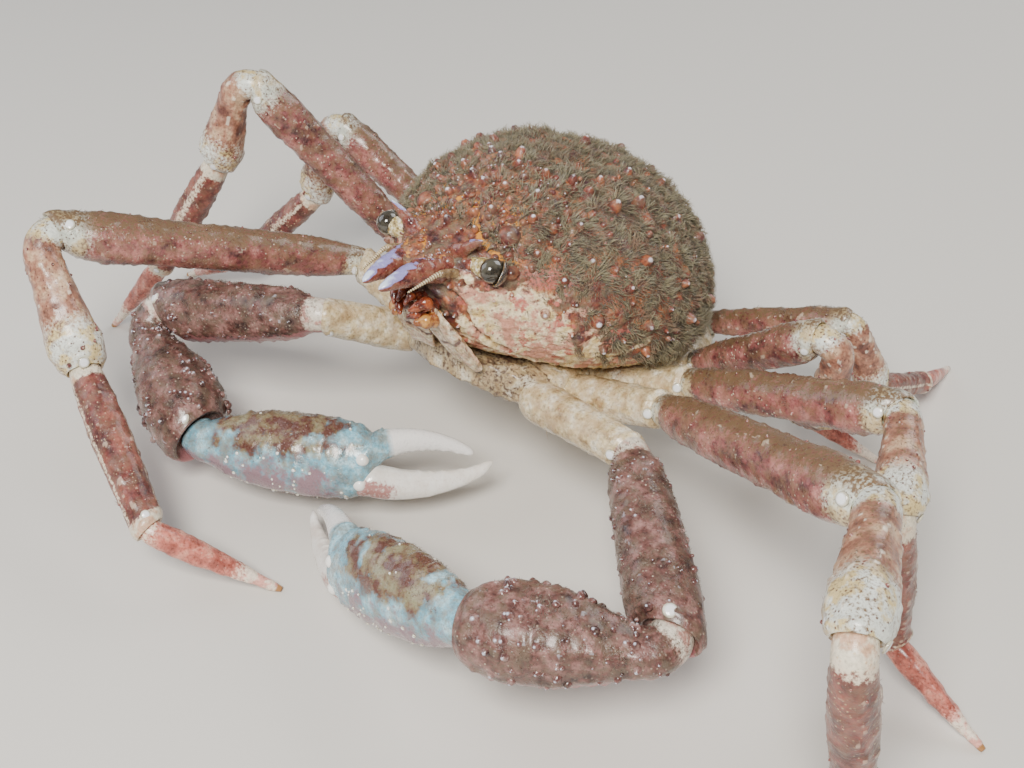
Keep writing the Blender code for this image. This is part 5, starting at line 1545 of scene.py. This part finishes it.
def woolly(name, grid, spread, count, seed, slot, where=None):
    """Sparse short growth on the upper side of a limb segment, thicker where a slow ripple is high; its
    unwrap is the segment's own length and turn."""
    rng = np.random.default_rng(seed + 500)
    rows, columns = grid.shape[:2]
    at = rng.uniform(0.06, 0.92, count) * (rows - 2)
    row = at.astype(int)
    column = rng.integers(0, columns, count)
    mix = rng.uniform(size=(count, 2))
    beside = (column + 1) % columns
    places = grid[row, column] + (grid[row + 1, column] - grid[row, column]) * mix[:, :1]
    places = places + (grid[row, beside] - grid[row, column]) * mix[:, 1:]
    ways = spread[row, column]
    chance = smoothstep(ways[:, 2], -0.2, 0.5) * smoothstep(ripple(places, 12, seed), -0.5, 0.5)
    if where is not None:
        chance = chance * where[row, column]
    keep = rng.uniform(size=count) < chance
    places, ways, row, column = places[keep], ways[keep], row[keep], column[keep]
    kept = len(places)
    centres = np.stack((0.02 + 0.96 * row / rows, 0.02 + 0.96 * column / columns), -1)
    tufts(name, places - ways * 0.15, ways, combed(places, ways, rng, 0.6), rng.uniform(0.9, 2.2, kept),
          rng.uniform(0.10, 0.18, kept), rng.uniform(0.1, 0.9, kept), WOOL, slot, centres, False)


# Floor, light and camera

# Floor and lights in metres; lights as (name, place, aim, power, size, colour)
FLOOR_REACH = 6.0
FLOOR_LEVEL = -0.0004
LIGHTS = (
    ("key", (0.45, -0.75, 1.05), (0, 0, 0.07), 26, 0.4, "FFFAF2"),
    ("fill", (-0.9, -0.5, 0.7), (0, 0, 0.06), 6, 0.9, "F2F6FF"),
    ("back", (0.1, 1.0, 0.9), (0, 0, 0.06), 8, 0.8, "FFFFFF"),
)
# Camera in degrees from straight ahead and above level, and its place in mm from the body's origin
CAMERA_AZIMUTH = 44
CAMERA_ELEVATION = 38
CAMERA_PLACE = (352, -379, 323)
HALF_FIELD = 20


def area_light(name, place, aim, power, size, colour):
    """Square light at a place in metres, turned to face the point that it is aimed at."""
    light = bpy.data.lights.new(name, "AREA")
    light.energy = power
    light.size = size
    light.color = linear(colour)[:3]
    item = bpy.data.objects.new(name, light)
    item.location = place
    item.rotation_mode = "QUATERNION"
    item.rotation_quaternion = (Vector(aim) - Vector(place)).to_track_quat("-Z", "Y")
    bpy.context.scene.collection.objects.link(item)


def studio():
    """Pale plain floor, a square about the origin just under the feet, an even pale world and the lights."""
    mesh = bpy.data.meshes.new("floor")
    signs = ((-1, -1), (1, -1), (1, 1), (-1, 1))
    corners = [(x * FLOOR_REACH, y * FLOOR_REACH, FLOOR_LEVEL) for x, y in signs]
    mesh.from_pydata(corners, [], [(0, 1, 2, 3)])
    floor = bpy.data.objects.new("floor", mesh)
    paper = bpy.data.materials.new("floor_paper")
    paper.use_nodes = True
    shader = paper.node_tree.nodes["Principled BSDF"]
    shader.inputs["Base Color"].default_value = linear("D9D6D0")
    shader.inputs["Roughness"].default_value = 0.85
    mesh.materials.append(paper)
    bpy.context.scene.collection.objects.link(floor)
    world = bpy.data.worlds.new("studio")
    world.use_nodes = True
    background = world.node_tree.nodes["Background"]
    background.inputs["Color"].default_value = linear("E4E6E8")
    background.inputs["Strength"].default_value = 0.27
    bpy.context.scene.world = world
    for light in LIGHTS:
        area_light(*light)


def camera():
    """Camera at the photograph's angle, ahead of the crab on its left and above it."""
    azimuth, elevation = math.radians(CAMERA_AZIMUTH), math.radians(CAMERA_ELEVATION)
    back = Vector((math.sin(azimuth) * math.cos(elevation), -math.cos(azimuth) * math.cos(elevation),
                   math.sin(elevation)))
    right = Vector((math.cos(azimuth), math.sin(azimuth), 0))
    place = Vector((np.array(CAMERA_PLACE) + BODY) * MM)
    turned = Matrix((right, back.cross(right), back)).transposed()
    lens = bpy.data.cameras.new("camera")
    lens.sensor_width = 36
    lens.lens = lens.sensor_width / 2 / math.tan(math.radians(HALF_FIELD))
    lens.clip_start = 0.01
    lens.clip_end = 30
    item = bpy.data.objects.new("camera", lens)
    item.matrix_world = Matrix.Translation(place) @ turned.to_4x4()
    bpy.context.scene.collection.objects.link(item)
    bpy.context.scene.camera = item


camera()
studio()
carapace()
head()
eyes()
feelers()
mouth_plates()
palps()
sternum()
abdomen()
for word in ("left", "right"):
    claw(word)
    for kind in LEG_SIZES:
        leg(kind + "_" + word)
back_tubercles()
growth()

bpy.context.view_layer.update()
